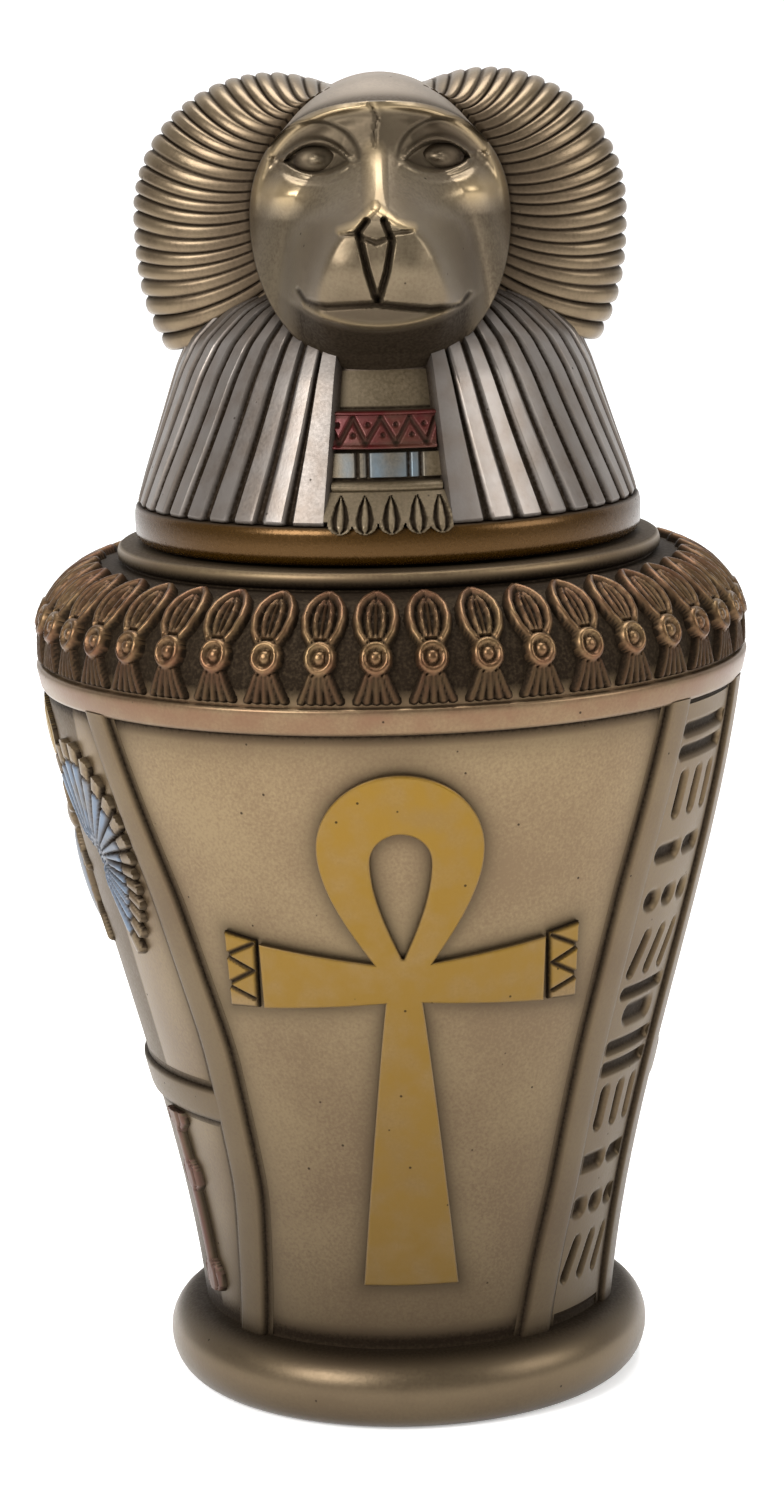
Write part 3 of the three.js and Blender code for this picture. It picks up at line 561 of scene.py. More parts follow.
def groove(gap, half):
    """1 in the middle of a line and 0 past its edge, with a rounded section."""
    return np.clip(1 - (gap / half) ** 2, 0, 1)


def rod(gap, half, top):
    """Height of a rounded rod beside its middle line, and below the ground past it."""
    return top * np.sqrt(np.clip(1 - (gap / half) ** 2, 0, 1)) - 2.0 * np.clip(gap / half - 1, 0, None)


for side, mirror in (("left", -1), ("right", 1)):
    cap, across, along = carved_sheet(f"ankh_cap_{side}", 30, 60)
    u = 16.5 + across * (3.6 + 0.4 * along)
    z = 51.1 - 0.2 * across + along * (8.2 + 1.0 * across)
    border = np.minimum.reduce([across * 3.9, (1 - across) * 3.9, along * 8.2, (1 - along) * 8.2])
    zigzag = [(16.9, 58.9), (20.4, 57.2), (16.9, 55.6), (20.4, 53.6), (16.9, 52.2)]
    cut = groove(gap_to_line(u, z, zigzag), 0.32)
    lift = np.interp(border, [0, 0.15, 0.35], [0.35, 0.72, 0.85]) - 0.45 * cut
    paint_on(cap, "wash_and_painted_shade", np.maximum(cut, np.interp(border, [0, 0.2, 0.4], [1, 0.4, 0])))
    paint_on(cap, "ochre", (1 - cut) * np.interp(along, [0.1, 0.25], [0.2, 1]))
    move_points(cap, np.stack([u * mirror + ANKH_CENTRE, z, lift], axis=-1))
    close_under(cap, 1.6)
    co = points_of(cap)
    move_points(cap, on_wall(0, co[:, 0], co[:, 1], co[:, 2]))
    finish_piece(cap, 50)
    cap.data.materials.append(ochre_paint)
    fit(cap, BUILT_IN_JAR)

# ---- The engraved column ----
# A narrow panel of short strokes, cut into the casting and left full of dark wash. They
# stand for an inscription and spell nothing.

engraved, across, along = carved_sheet("engraved_column", 84, 330)
z = 10.2 + along * 72.6
left_edge = eased(STRIPS["right"], z) + np.degrees(1.5 / panel_radius(z))
right_edge = eased(STRIPS["side_right"], z) - np.degrees(1.5 / panel_radius(z))
azimuth = left_edge + (right_edge - left_edge) * across
u = np.radians(azimuth - (left_edge + right_edge) / 2) * panel_radius(z)
SIGN_ROW_COUNT = 11
FIRST_ROW_Z = 78.5
ROW_PITCH = 6.2
STROKE_DEPTH = 0.75
SIGN_ROWS = [
    [([(-4.8, 1.3), (4.8, 1.3)], 0.8), ([(-4.8, -1.3), (4.8, -1.3)], 0.8)],
    [([(at + 0.1, 1.9), (at, -1.9)], 0.8) for at in (-3.6, 0.0, 3.6)],
    [([(-4.6, -0.5), (-1.2, -0.5)], 1.0), ([(1.6, -0.5), (4.4, -0.5)], 1.0)],
    [([(at, 0.2), (at + 0.6, 0.2)], 1.15) for at in (-4.2, -0.3, 3.6)],
    [([(at - 0.7, -2.0), (at + 0.9, 2.0)], 0.7) for at in (-3.8, -0.2, 3.4)],
    [([(-4.6, 1.6), (4.6, 1.6)], 0.7), ([(-2.2, -1.2), (2.2, -1.2)], 1.3)],
]
cut = np.zeros(z.shape)
for row in range(SIGN_ROW_COUNT):
    for line, half in SIGN_ROWS[row % len(SIGN_ROWS)]:
        gap = gap_to_line(u / (0.8 + 0.003 * z), z - (FIRST_ROW_Z - ROW_PITCH * row), line)
        cut = np.maximum(cut, np.clip(1.6 - 1.3 * gap / half, 0, 1))
lift = 0.04 - STROKE_DEPTH * cut
paint_on(engraved, "wash_and_painted_shade", np.maximum(1.3 * cut - 0.15, 0.25))
move_points(engraved, np.stack([u, z, lift], axis=-1))
close_under(engraved, 0.9)
co = points_of(engraved)
middle = (eased(STRIPS["right"], co[:, 1]) + eased(STRIPS["side_right"], co[:, 1])) / 2
floor_part = np.arange(len(co)) >= len(z)
lift = np.where(floor_part, -0.95, co[:, 2])
move_points(engraved, on_wall(middle, co[:, 0], co[:, 1], lift))
finish_piece(engraved, 60)
engraved.data.materials.append(wall_bronze)
fit(engraved, BUILT_IN_JAR)

# ---- The picture on the left side ----
# Low relief: a beetle between two fans of feathers under the sun's disc, and two
# standards below the bar, picked out in thin blue, yellow and red paint.

FAN_U, FAN_Z = 16.2, 65.8
FIRST_SPREAD = -80
LAST_SPREAD = 134
FEATHER_SPREAD = 13.4
FEATHER_REACH = [
    (-80, 12.0), (-51, 9.3), (-26, 8.6), (-6, 8.2), (9, 8.8), (25, 9.5), (43, 10.5), (67, 11.8),
    (93, 13.6), (130, 13.0),
]
STANDARD_HALF = [
    (12.2, 1.4), (13.0, 2.2), (15.0, 2.0), (16.2, 0.8), (24.6, 0.8), (25.6, 2.0), (27.4, 2.0), (28.6, 0.8),
    (32.0, 0.8), (33.4, 2.4), (34.6, 2.2),
]
# Thin paint over the bronze, darker towards the foot, partly as painted shade.
picture_bronze = cast_bronze(
    "thin_paint_on_cast_bronze", "#726249", "#594935", metal=0.55, gloss=0.42,
    paints=[("blue", "#5B697A", 0.45), ("yellow", "#7E621D", 0.25), ("red", "#5E3C33", 0.4)], low=0.55,
)


def lay_on_left(piece, depth):
    """Closes a relief sheet in (u, z, lift) and bends it round the left side."""
    close_under(piece, depth)
    co = points_of(piece)
    move_points(piece, on_wall(-90, co[:, 0], co[:, 1], co[:, 2]))
    finish_piece(piece, 60)
    piece.data.materials.append(picture_bronze)
    fit(piece, BUILT_IN_JAR)


for side, mirror in (("near", 1), ("far", -1)):
    wing, across, along = carved_sheet(f"feathers_{side}", 100, 128)
    u, z = 2.0 + across * 24.0, 52.4 + along * 28.8
    spread = np.degrees(np.arctan2(z - FAN_Z, u - FAN_U))
    spread = np.where(spread < -100, spread + 360, spread)
    feather = (spread - FIRST_SPREAD) / FEATHER_SPREAD
    middle_gap = np.abs(2 * (feather % 1) - 1)
    from_root = np.hypot(u - FAN_U, z - FAN_Z)
    centre_spread = (np.floor(feather) + 0.5) * FEATHER_SPREAD + FIRST_SPREAD
    reach = np.interp(centre_spread, *np.array(FEATHER_REACH, float).T)
    tip_round = reach - 0.8 * middle_gap**2
    inside = (spread > FIRST_SPREAD) & (spread < LAST_SPREAD) & (from_root < tip_round)
    vane = 0.62 * np.sqrt(np.clip(1 - (middle_gap / 0.86) ** 2, 0, 1)) * np.clip(from_root / 3, 0.3, 1)
    tip_line = groove(from_root - (tip_round - 2.3), 0.3)
    lift = np.where(inside, 0.28 + vane - 0.25 * tip_line, -0.6)
    blue = inside * (from_root < tip_round - 2.4) * np.clip(1.5 - 1.3 * middle_gap, 0, 1)
    paint_on(wing, "blue", blue)
    dark_gap = np.clip((middle_gap - 0.62) / 0.2, 0, 1)
    paint_on(wing, "wash_and_painted_shade", np.where(inside, np.maximum(dark_gap, 0.8 * tip_line), 1.0))
    move_points(wing, np.stack([mirror * u, z, lift], axis=-1))
    lay_on_left(wing, 0.4)

    standard, across, along = carved_sheet(f"standard_{side}", 22, 110)
    u, z = (across - 0.5) * 5.6, 12.2 + along * 22.4
    share = np.abs(u) / np.interp(z, *np.array(STANDARD_HALF, float).T)
    pole = 0.95 * np.sqrt(np.clip(1 - share**4, 0, 1)) - 0.3 * groove(share - 0.5, 0.12)
    lift = np.where(share < 1, pole, -0.5)
    paint_on(standard, "red", (share < 0.9) * 0.9)
    paint_on(standard, "wash_and_painted_shade", np.interp(share, [0.42, 0.5, 0.58, 0.85, 1.0], [0.1, 0.8, 0.1, 0.1, 1.0]))
    move_points(standard, np.stack([mirror * (12.8 + 0.07 * (z - 34)) + u, z, lift], axis=-1))
    lay_on_left(standard, 0.5)

disc, across, along = carved_sheet("sun_disc", 90, 50)
u, z = (across - 0.5) * 18, 74.0 + along * 9.0
from_middle = np.hypot(u / 8.6, (z - 78.4) / 4.3)
dome = 0.55 + 0.45 * (1 - from_middle**2) - 0.2 * groove(from_middle - 0.85, 0.05)
lift = np.where(from_middle < 1, dome, -0.5)
paint_on(disc, "yellow", (from_middle < 0.97).astype(float))
paint_on(disc, "wash_and_painted_shade", np.interp(from_middle, [0.8, 0.85, 0.9, 0.96, 1.0], [0, 0.7, 0, 0.2, 1.0]))
move_points(disc, np.stack([u, z, lift], axis=-1))
lay_on_left(disc, 0.5)

beetle, across, along = carved_sheet("beetle", 84, 110)
u, z = (across - 0.5) * 17, 53.4 + along * 20.4
shell = np.hypot(u / 4.3, (z - 60.6) / 6.4)
neck = np.hypot(u / 3.5, (z - 67.6) / 1.9)
brow = np.hypot(u / 2.2, (z - 70.4) / 1.6)
lift = np.full(u.shape, -0.5)
for form, top in ((shell, 1.5), (neck, 1.25), (brow, 1.0)):
    back = 0.4 + (top - 0.4) * np.sqrt(np.clip(1 - form**2, 0, 1))
    lift = np.maximum(lift, np.where(form < 1, back, -0.5))
LEGS = [
    [(3.0, 68.6), (6.0, 69.4), (6.8, 72.6)],
    [(3.6, 63.4), (7.2, 62.6)],
    [(3.2, 57.6), (6.2, 56.4), (7.4, 54.2)],
]
for mirror in (-1, 1):
    for leg in LEGS:
        bent = [(mirror * a, b) for a, b in leg]
        lift = np.maximum(lift, rod(gap_to_line(u, z, bent), 0.5, 0.75))
seam = groove(np.abs(u), 0.3) * (z < 66.4) * (shell < 1)
lift -= 0.35 * seam
paint_on(beetle, "blue", (shell < 0.92) * 0.7)
paint_on(beetle, "wash_and_painted_shade", np.maximum(seam, np.interp(lift, [0.1, 0.6], [1, 0])))
move_points(beetle, np.stack([u, z, lift], axis=-1))
lay_on_left(beetle, 0.5)

# ---- The row of hanging flowers on the shoulder ----
# Forty-two alike: a pointed bud of ribbed petals, a roundel and a fan of five tassels,
# cast proud of the dark shoulder and rubbed with a coppery wax.

FLOWER_COUNT = 42
FIRST_FLOWER = -2.4
COPING_TOP_Z = 86.4
UPRIGHT_PART = 2.0


def on_shoulder(azimuth, u, distance, lift):
    """Points on the shoulder, a distance up from the coping and lifted clear of it."""
    turn = np.clip((distance - UPRIGHT_PART) / SHOULDER_ROUND, 0, None)
    reach = SHOULDER_ROUND + lift
    radius = SHOULDER_CENTRE_RADIUS + reach * np.cos(turn)
    z = COPING_TOP_Z + np.minimum(distance, UPRIGHT_PART) + reach * np.sin(turn)
    angle = np.radians(azimuth) + u / radius
    return np.stack([radius * np.sin(angle), -radius * np.cos(angle), z], axis=-1)


flower, across, along = carved_sheet("flower_01", 26, 60)
u = (across - 0.5) * 5.2
d = 0.25 + along * 14.1
lift = np.full(u.shape, -0.5)
for tassel in range(-2, 3):
    line = [(0.36 * tassel, 4.0), (0.62 * tassel, 2.4), (0.92 * tassel, 0.75)]
    half = 0.38 + 0.12 * np.clip((3.6 - d) / 3, 0, 1)
    lift = np.maximum(lift, rod(gap_to_line(u, d, line), half, 0.85))
for mirror in (-1, 1):
    rim_line = [(0.9, 6.8), (1.55, 8.0), (1.8, 9.6), (1.62, 11.2), (1.0, 12.7), (0.15, 13.7)]
    petal = [(0.3, 7.0), (0.66, 8.4), (0.74, 9.8), (0.6, 11.2), (0.2, 12.2)]
    for line, half, top in ((rim_line, 0.5, 1.08), (petal, 0.36, 0.98)):
        mirrored = [(mirror * a, b) for a, b in line]
        lift = np.maximum(lift, rod(gap_to_line(u, d, mirrored), half, top))
lift = np.maximum(lift, rod(gap_to_line(u, d, [(0, 7.2), (0, 11.6)]), 0.24, 0.9))
in_bud = np.clip(1 - (u / 1.8) ** 2 - ((d - 9.9) / 3.6) ** 2, 0, 1)
lift = np.maximum(lift, np.where(in_bud > 0, 0.25, -0.5))
from_eye = np.hypot(1.14 * u, d - 5.25)
ROUNDEL = [
    (0, 1.32), (0.5, 1.25), (0.7, 0.8), (0.92, 0.8), (1.16, 1.28), (1.46, 1.28), (1.78, 0.85), (2.0, -0.5),
]
roundel = np.interp(from_eye, *np.array(ROUNDEL, float).T)
lift = np.where(from_eye < 1.9, np.maximum(roundel, -0.5), lift)
paint_on(flower, "wash_and_painted_shade", np.interp(lift, [0.45, 0.7, 0.9, 1.06], [1.0, 0.9, 0.4, 0.0]))
paint_on(flower, "copper", np.interp(d, [0, 4, 6, 14], [0.5, 0.75, 0.3, 0.85]))
move_points(flower, np.stack([u, d, lift], axis=-1))
close_under(flower, 0.6)
# The flat flower is a little narrow across, and is widened where it is laid on the shoulder.
flat_flower = points_of(flower) * (1.14, 1, 1)

# Coppery wax over the bronze, brighter on the proud lines.
flower_bronze = cast_bronze(
    "cold_cast_bronze_copper_waxed", "#6E5B3D", "#574229", gloss=0.34, paints=[("copper", "#5B3928", 0.7)]
)
finish_piece(flower, 60)
flower.data.materials.append(flower_bronze)
flowers = [flower]
for index in range(1, FLOWER_COUNT):
    copy = flower.copy()
    copy.data = flower.data.copy()
    copy.name = copy.data.name = f"flower_{index + 1:02d}"
    bpy.context.scene.collection.objects.link(copy)
    flowers.append(copy)
for index, made in enumerate(flowers):
    place = FIRST_FLOWER + index * 360 / FLOWER_COUNT
    move_points(made, on_shoulder(place, flat_flower[:, 0], flat_flower[:, 1], flat_flower[:, 2]))
    fit(made, BUILT_IN_JAR)

# ---- The lid's base, gilt band and plug ----
# The lid is a second casting. Its plug drops into the mouth, and a smooth band brushed
# with dark gold paint sits on the flange.

lid_base = turned(
    "lid_base",
    [
        (0, 97.0), (12, 97.0), (23.8, 97.0), (24.4, 97.6), (24.4, 100.0), (28.2, 100.0), (28.8, 100.15),
        (29.15, 100.6), (29.3, 101.3), (29.32, 102.4), (29.3, 103.4), (29.15, 104.0), (28.9, 104.25),
        (28.3, 104.3), (14, 104.3), (0, 104.3),
    ],
    256,
)
co = points_of(lid_base)
radius, height = np.hypot(co[:, 0], co[:, 1]), co[:, 2]
paint_on(lid_base, "gilt", ((height > 100.05) & (height < 104.2) & (radius > 25)).astype(float))
# Painted shade under the gilt band, where it sits on the flange, and dark wash on top where the cloth sits.
paint_on(lid_base, "wash_and_painted_shade", np.where(height > 104.1, 0.9, np.where(radius < 28.5, 0.5, 0.0)))
finish_piece(lid_base, 40)
# Dark gold paint, glossier than the bronze beside it.
gold_band = cast_bronze(
    "gold_paint_on_cast_bronze", "#47300B", "#3A2402", metal=0.7, gloss=0.26,
    paints=[("gilt", "#432B04", 0.15)],
)
lid_base.data.materials.append(gold_band)
fit(lid_base, BUILT_IN_LID)

# ---- The striped headcloth ----
# A pleated cloth that flares to the band, with two lappets in front. Its flat pleats are
# rubbed with silver, and the lines between them keep the dark wash.

LAPPET_EDGE = 14.0
FIRST_LINE = 22.4
LINE_PITCH = 7.504
BAND_TOP_Z = 104.3
CLOTH_LINE = [
    (BAND_TOP_Z, 29.1), (108, 27.95), (112, 26.6), (116, 25.3), (119.8, 24.1), (123.5, 22.4), (126.8, 19.0),
    (129.0, 14.1),
]


def cloth_radius(z):
    return eased(CLOTH_LINE, z)


def front_recess(z):
    """How far the cloth's front draws back as it climbs under the jaw."""
    return 1.6 * np.clip((z - 105) / 19, 0, 1)


cloth_profile = [(0, 104.35), (14, 104.35), (27.2, 104.35), (28.8, 104.4)]
cloth_profile += [(cloth_radius(z), z) for z in np.linspace(104.8, 129.0, 44)]
cloth_profile += [(7, 129.4), (0, 129.4)]
cloth = turned("headcloth", cloth_profile, 840)
co = points_of(cloth)
foot_azimuth = np.degrees(np.arctan2(co[:, 0], -co[:, 1]))
radius, height = np.hypot(co[:, 0], co[:, 1]), co[:, 2]
# The lines draw in towards the jaw as they climb, and the lappets' edges stay upright.
climb = np.clip((height - BAND_TOP_Z) / 20, 0, 1.2)
past_lappet = np.clip((np.abs(foot_azimuth) - LAPPET_EDGE) / 9, 0, 1)
azimuth = foot_azimuth * (1 - 0.2 * climb * (1 - np.abs(foot_azimuth) / 180) * past_lappet)
stripe = (np.abs(foot_azimuth) - FIRST_LINE) / LINE_PITCH
line_gap = np.abs(stripe - np.clip(np.round(stripe), 0, 40)) * np.radians(LINE_PITCH) * radius
line_half = np.interp(height, [104, 126], [0.5, 0.33])
sunk = np.clip(1.45 - line_gap / line_half, 0, 1) * (stripe > -0.5)
throat = np.clip((LAPPET_EDGE - np.abs(azimuth)) * np.radians(1) * radius / 0.35, 0, 1)
side_wall = radius > 26.5 - 0.9 * np.clip(height - 104.4, 0, 20)
pleat = 0.22 * np.clip((stripe % 1), 0, 1) * (stripe > 0)
depth = np.where(side_wall, np.maximum(0.75 * sunk + pleat * (1 - sunk), 1.9 * throat), 0)
facing = np.clip(1.6 * np.cos(np.radians(azimuth)) - 0.3, 0, 1)
depth += np.where(side_wall, front_recess(height) * facing, 0)
radius = radius - depth * (radius > 2)
angle = np.radians(azimuth)
move_points(cloth, np.stack([radius * np.sin(angle), -radius * np.cos(angle), height], axis=-1))
lappet_shadow = 0.6 * np.exp(-(((np.abs(azimuth) - LAPPET_EDGE + 1.0) / 1.2) ** 2))
dark_wash_and_shade = np.maximum(np.clip(1.4 * sunk, 0, 1), 0.35 * throat + lappet_shadow)
dark_wash_and_shade = np.maximum(dark_wash_and_shade, 0.95 * (height < 104.75))
# The lappets' flat strips are darkened a little, painted shade that tones down their reflection of the left
# lamp.
dark_wash_and_shade = np.maximum(dark_wash_and_shade, 0.2 * (np.abs(foot_azimuth) < FIRST_LINE))
# Painted shade on the cloth's top, under the jaw and the mane.
dark_wash_and_shade = np.maximum(dark_wash_and_shade, np.clip((height - 124) / 5, 0, 0.85))
paint_on(cloth, "wash_and_painted_shade", dark_wash_and_shade)
paint_on(cloth, "silver", 1 - throat)
finish_piece(cloth, 35)
# Silver wax rubbed over bronze, cool grey against the brown.
silvered_bronze = cast_bronze(
    "cold_cast_bronze_silver_waxed", "#73665A", "#5E5146", metal=0.84, gloss=0.37,
    paints=[("silver", "#7B746E", 0.55)],
)
cloth.data.materials.append(silvered_bronze)
fit(cloth, BUILT_IN_LID)

# ---- The collar on the throat ----
# A red enamel band with a zigzag, a pale blue row, a bar and five drops that hang over
# the gilt band, all in the gap between the lappets.

collar, across, along = carved_sheet("collar", 120, 190)
u = (across - 0.5) * 13.2
z = 103.4 + along * 17.2
lift = np.zeros(u.shape)
shade = np.clip(0.2 + 0.5 * (np.abs(u) / 6.0) ** 4, 0, 0.8)
in_red = (z > 112.3) & (z < 116.4) & (u < 5.5)
zigzag = [
    (-6.4, 115.4), (-5.06, 112.9), (-3.5, 115.6), (-2.17, 112.9), (-0.5, 115.6), (1.08, 112.9), (2.6, 115.6),
    (4.4, 112.9), (5.3, 115.4),
]
red_cut = groove(gap_to_line(u, z, zigzag), 0.36)
for dot_z, places in ((114.9, (-5.2, -1.9, 1.1, 4.1)), (113.8, (-3.5, -0.3, 2.8))):
    for dot_u in places:
        red_cut = np.maximum(red_cut, groove(np.hypot(u - dot_u, z - dot_z), 0.36))
frame_line = np.minimum(np.abs(z - 112.55), np.abs(z - 116.15))
red_lift = 0.8 + 0.3 * groove(frame_line, 0.25) - 0.4 * red_cut
lift = np.where(in_red, red_lift, lift)
shade = np.where(in_red, 0.75 * red_cut + 0.3 * groove(frame_line - 0.4, 0.2), shade)
in_blue = (z > 109.3) & (z < 112.0)
pair_gap = np.minimum.reduce([np.abs(u - at) for at in (-3.2, -2.05, 2.4, 3.7)])
lift = np.where(in_blue, 0.45 - 0.4 * groove(pair_gap, 0.3), lift)
shade = np.where(in_blue, np.maximum(groove(pair_gap, 0.34), 0.1), shade)
in_bar = (z > 107.9) & (z < 108.95)
lift = np.where(in_bar, 0.5 + 0.5 * groove(np.abs(z - 108.4), 0.55), lift)
shade = np.where(in_bar, 0.1, shade)
for gap_z, half in ((109.1, 0.3), (112.15, 0.32), (116.6, 0.3), (107.75, 0.25)):
    shade = np.maximum(shade, groove(np.abs(z - gap_z), half))
# The drops hang in a plate whose lower edge is scalloped round them.
drops = (-4.9, -2.35, 0.35, 3.1, 5.5)
scallop = np.min([np.hypot((u - at) / 1.35, np.clip(104.9 - z, 0, 9) / 1.35) for at in drops], axis=0)
in_plate = (z <= 107.9) & ((z > 104.9) | (scallop < 1))
lift = np.where(in_plate, np.interp(z, [103.6, 104.5, 107.9], [2.45, 2.35, 0.75]), lift)
shade = np.where(in_plate, 0.2, shade)
for at in drops:
    narrowing = np.interp(z, [103.75, 104.1, 105.1, 106.4, 107.5], [0.3, 0.8, 1.06, 0.72, 0.1])
    share = np.where((z > 103.75) & (z < 107.5), np.abs(u - at) / narrowing, 9)
    in_drop = (share < 1) & in_plate
    dip = np.interp(share, [0, 0.3, 0.45, 0.72, 0.9, 1.0], [0.05, 0, -0.5, -0.5, 0.0, 0.1])
    lift = np.where(in_drop, lift + dip, lift)
    rim_wash = np.interp(share, [0.22, 0.42, 0.75, 0.95], [0.0, 1, 1, 0.1])
    shade = np.where(in_drop, rim_wash, shade)
paint_on(collar, "wash_and_painted_shade", shade)
paint_on(collar, "red", in_red.astype(float))
# The pale blue is left in four dabs.
blue_left = np.zeros(u.shape)
for at, width, most in ((-1.0, 1.2, 0.9), (1.9, 1.3, 0.7), (-4.2, 0.9, 0.5), (3.1, 0.8, 0.6)):
    blue_left += most * np.exp(-(((u - at) / width) ** 2))
paint_on(collar, "blue", in_blue * np.clip(blue_left, 0, 1))
lift = np.where((z < 104.9) & ~in_plate, -0.8, lift)
lift = np.where((np.abs(u) > 6.05) & (z > 108), -0.3, lift)
move_points(collar, np.stack([u, z, lift], axis=-1))
close_under(collar, 1.2)
co = points_of(collar)
throat_radius = cloth_radius(np.maximum(co[:, 1], BAND_TOP_Z)) - front_recess(co[:, 1]) - 1.87
angle = co[:, 0] / throat_radius
reach = throat_radius + co[:, 2]
move_points(collar, np.stack([reach * np.sin(angle), -reach * np.cos(angle), co[:, 1]], axis=-1))
finish_piece(collar, 50)
# Red and blue enamel paint, thin over the bronze, with the raised lines rubbed clear.
enamelled = cast_bronze(
    "enamel_paint_on_cast_bronze", "#685A45", "#4F432E", metal=0.5, gloss=0.38,
    paints=[("red", "#49100F", 0.3), ("blue", "#606D75", 0.5)],
)
collar.data.materials.append(enamelled)
fit(collar, BUILT_IN_LID)

# ---- The ribbed mane ----
# Two round lobes of hair behind the face. Each lock is one rounded rib that springs from
# the face's edge, turns over the rim and runs to the parting behind the head.

LOCKS = 25
CELLS_PER_LOCK = 12
LOBE_X = 12.4
LOBE_Z = 136.9
RIM_Y = 2.0
mane, across, along = carved_sheet("mane", LOCKS * CELLS_PER_LOCK, 110)
side = np.where(along <= 0.5, 1.0, -1.0)
turn = np.where(along <= 0.5, along * 2, (1 - along) * 2) * math.pi
part = across
start = np.radians(70 - 105 * part)
end = np.radians(118 - 170 * part)
rim = 16.0 + 4.0 * np.clip(-np.sin(end) / 0.79, 0, None) ** 2
tip_x, tip_z = LOBE_X + rim * np.cos(end), LOBE_Z + rim * np.sin(end)
front = turn < math.pi / 2
root_x = np.where(front, 14.6 * np.cos(start), 0.0)
root_z = np.where(front, 137.0 + 15.2 * np.sin(start), 150.5 - 29.5 * part)
back_reach = 17.5 - 8.0 * (1 - part) ** 3
out = np.sin(turn)
lock_place = part * LOCKS + 0.1 * np.sin(31 * part) * np.sin(math.pi * part)
off_ridge = np.abs(2 * (lock_place % 1) - 1)
ridge = np.sqrt(np.clip(1 - (off_ridge / 0.98) ** 2.4, 0, 1))
sink = (1 - ridge) * 0.6 * (0.5 + 0.5 * out) / 16
sink = np.where(np.cos(turn) < -0.98, 0, sink)
x = root_x + (tip_x - root_x) * out
y = RIM_Y + np.where(front, -8.5, back_reach) * np.abs(np.cos(turn))
z = root_z + (tip_z - root_z) * out - np.where(front, 4.2, 0.0) * out * (1 - out)
# A groove between two locks sinks towards the inside of its lobe.
x += (LOBE_X / 2 - x) * sink
y += (RIM_Y - y) * sink
z += (LOBE_Z - z) * sink
move_points(mane, np.stack([side * x, y, z], axis=-1))
# Painted shade where the locks spring from the face, and wash in the grooves between them.
near_face = np.where(front, np.clip(0.5 - out, 0, 1), 0)
paint_on(mane, "wash_and_painted_shade", 0.9 * np.clip((off_ridge - 0.64) / 0.26, 0, 1) + 0.9 * near_face)
paint_on(mane, "bright", ridge * out)
close_under(mane, 0.0)
# The sheet's closing edge is drawn together inside the head.
count = len(across)
co = points_of(mane)
co[count:] = co[count:] * 0.1 + np.array([0, 5, 130]) * 0.9
move_points(mane, co)
finish_piece(mane, 60)
# Bright waxed ridges over dark grooves.
hair_bronze = cast_bronze(
    "cold_cast_bronze_waxed_hair", "#675745", "#524535", gloss=0.33, paints=[("bright", "#73644E", 0.6)]
)
mane.data.materials.append(hair_bronze)
fit(mane, BUILT_IN_LID)

# ---- The baboon's head ----
# A smooth mask with a brow crest, deep-set eyes and a square muzzle, on a rounded skull.
# The finest modelling of the casting is here, waxed a little brighter than the jar.

FACE_Z = 137.0
FACE_RADIUS = 14.7
EYE_Z = 143.3
BEAD = 0.955
RIDGE = [
    (118, 18.6), (119.5, 19.6), (122, 22.4), (124.6, 25.6), (125.8, 27.3), (127.4, 28.0), (129.4, 28.9),
    (133, 29.7), (136, 29.7), (138.2, 27.8), (141, 22.6), (144.5, 17.9), (148, 17.4),
]
FRONT_HALF = [
    (118, 2.5), (120, 3.6), (122.5, 4.8), (124.5, 5.6), (126, 6.2), (128.3, 6.6), (130, 6.4), (132, 5.8),
    (134, 4.9), (136, 3.4), (137.4, 1.6), (138.4, 0.6), (141, 0.3), (144.6, 0.2), (152, 0.2),
]
BASE_HALF = [
    (118, 9.0), (121, 10.6), (124, 11.8), (128, 12.0), (132, 11.4), (136, 10.6), (140, 9.2), (143, 6.0),
    (145, 3.6), (152, 3.0),
]


def face_reach(angle):
    """The mask's outline round its middle, flatter above and longer at the chin."""
    up = np.sin(angle)
    return np.where(up > 0, FACE_RADIUS - 1.9 * up**4, FACE_RADIUS + 2.3 * up**2)


def crest_depth(angle):
    """How far in front of y = 0 the mask's edge stands."""
    up = np.sin(angle)
    return np.where(up > 0, 8 + 8.5 * up**2, 8 + 12 * np.abs(up) ** 1.1)


def swell(x, z, middle, radii, height):
    """A rounded boss in the relief."""
    gap = ((x - middle[0]) / radii[0]) ** 2 + ((z - middle[1]) / radii[1]) ** 2
    return height * np.exp(-gap)


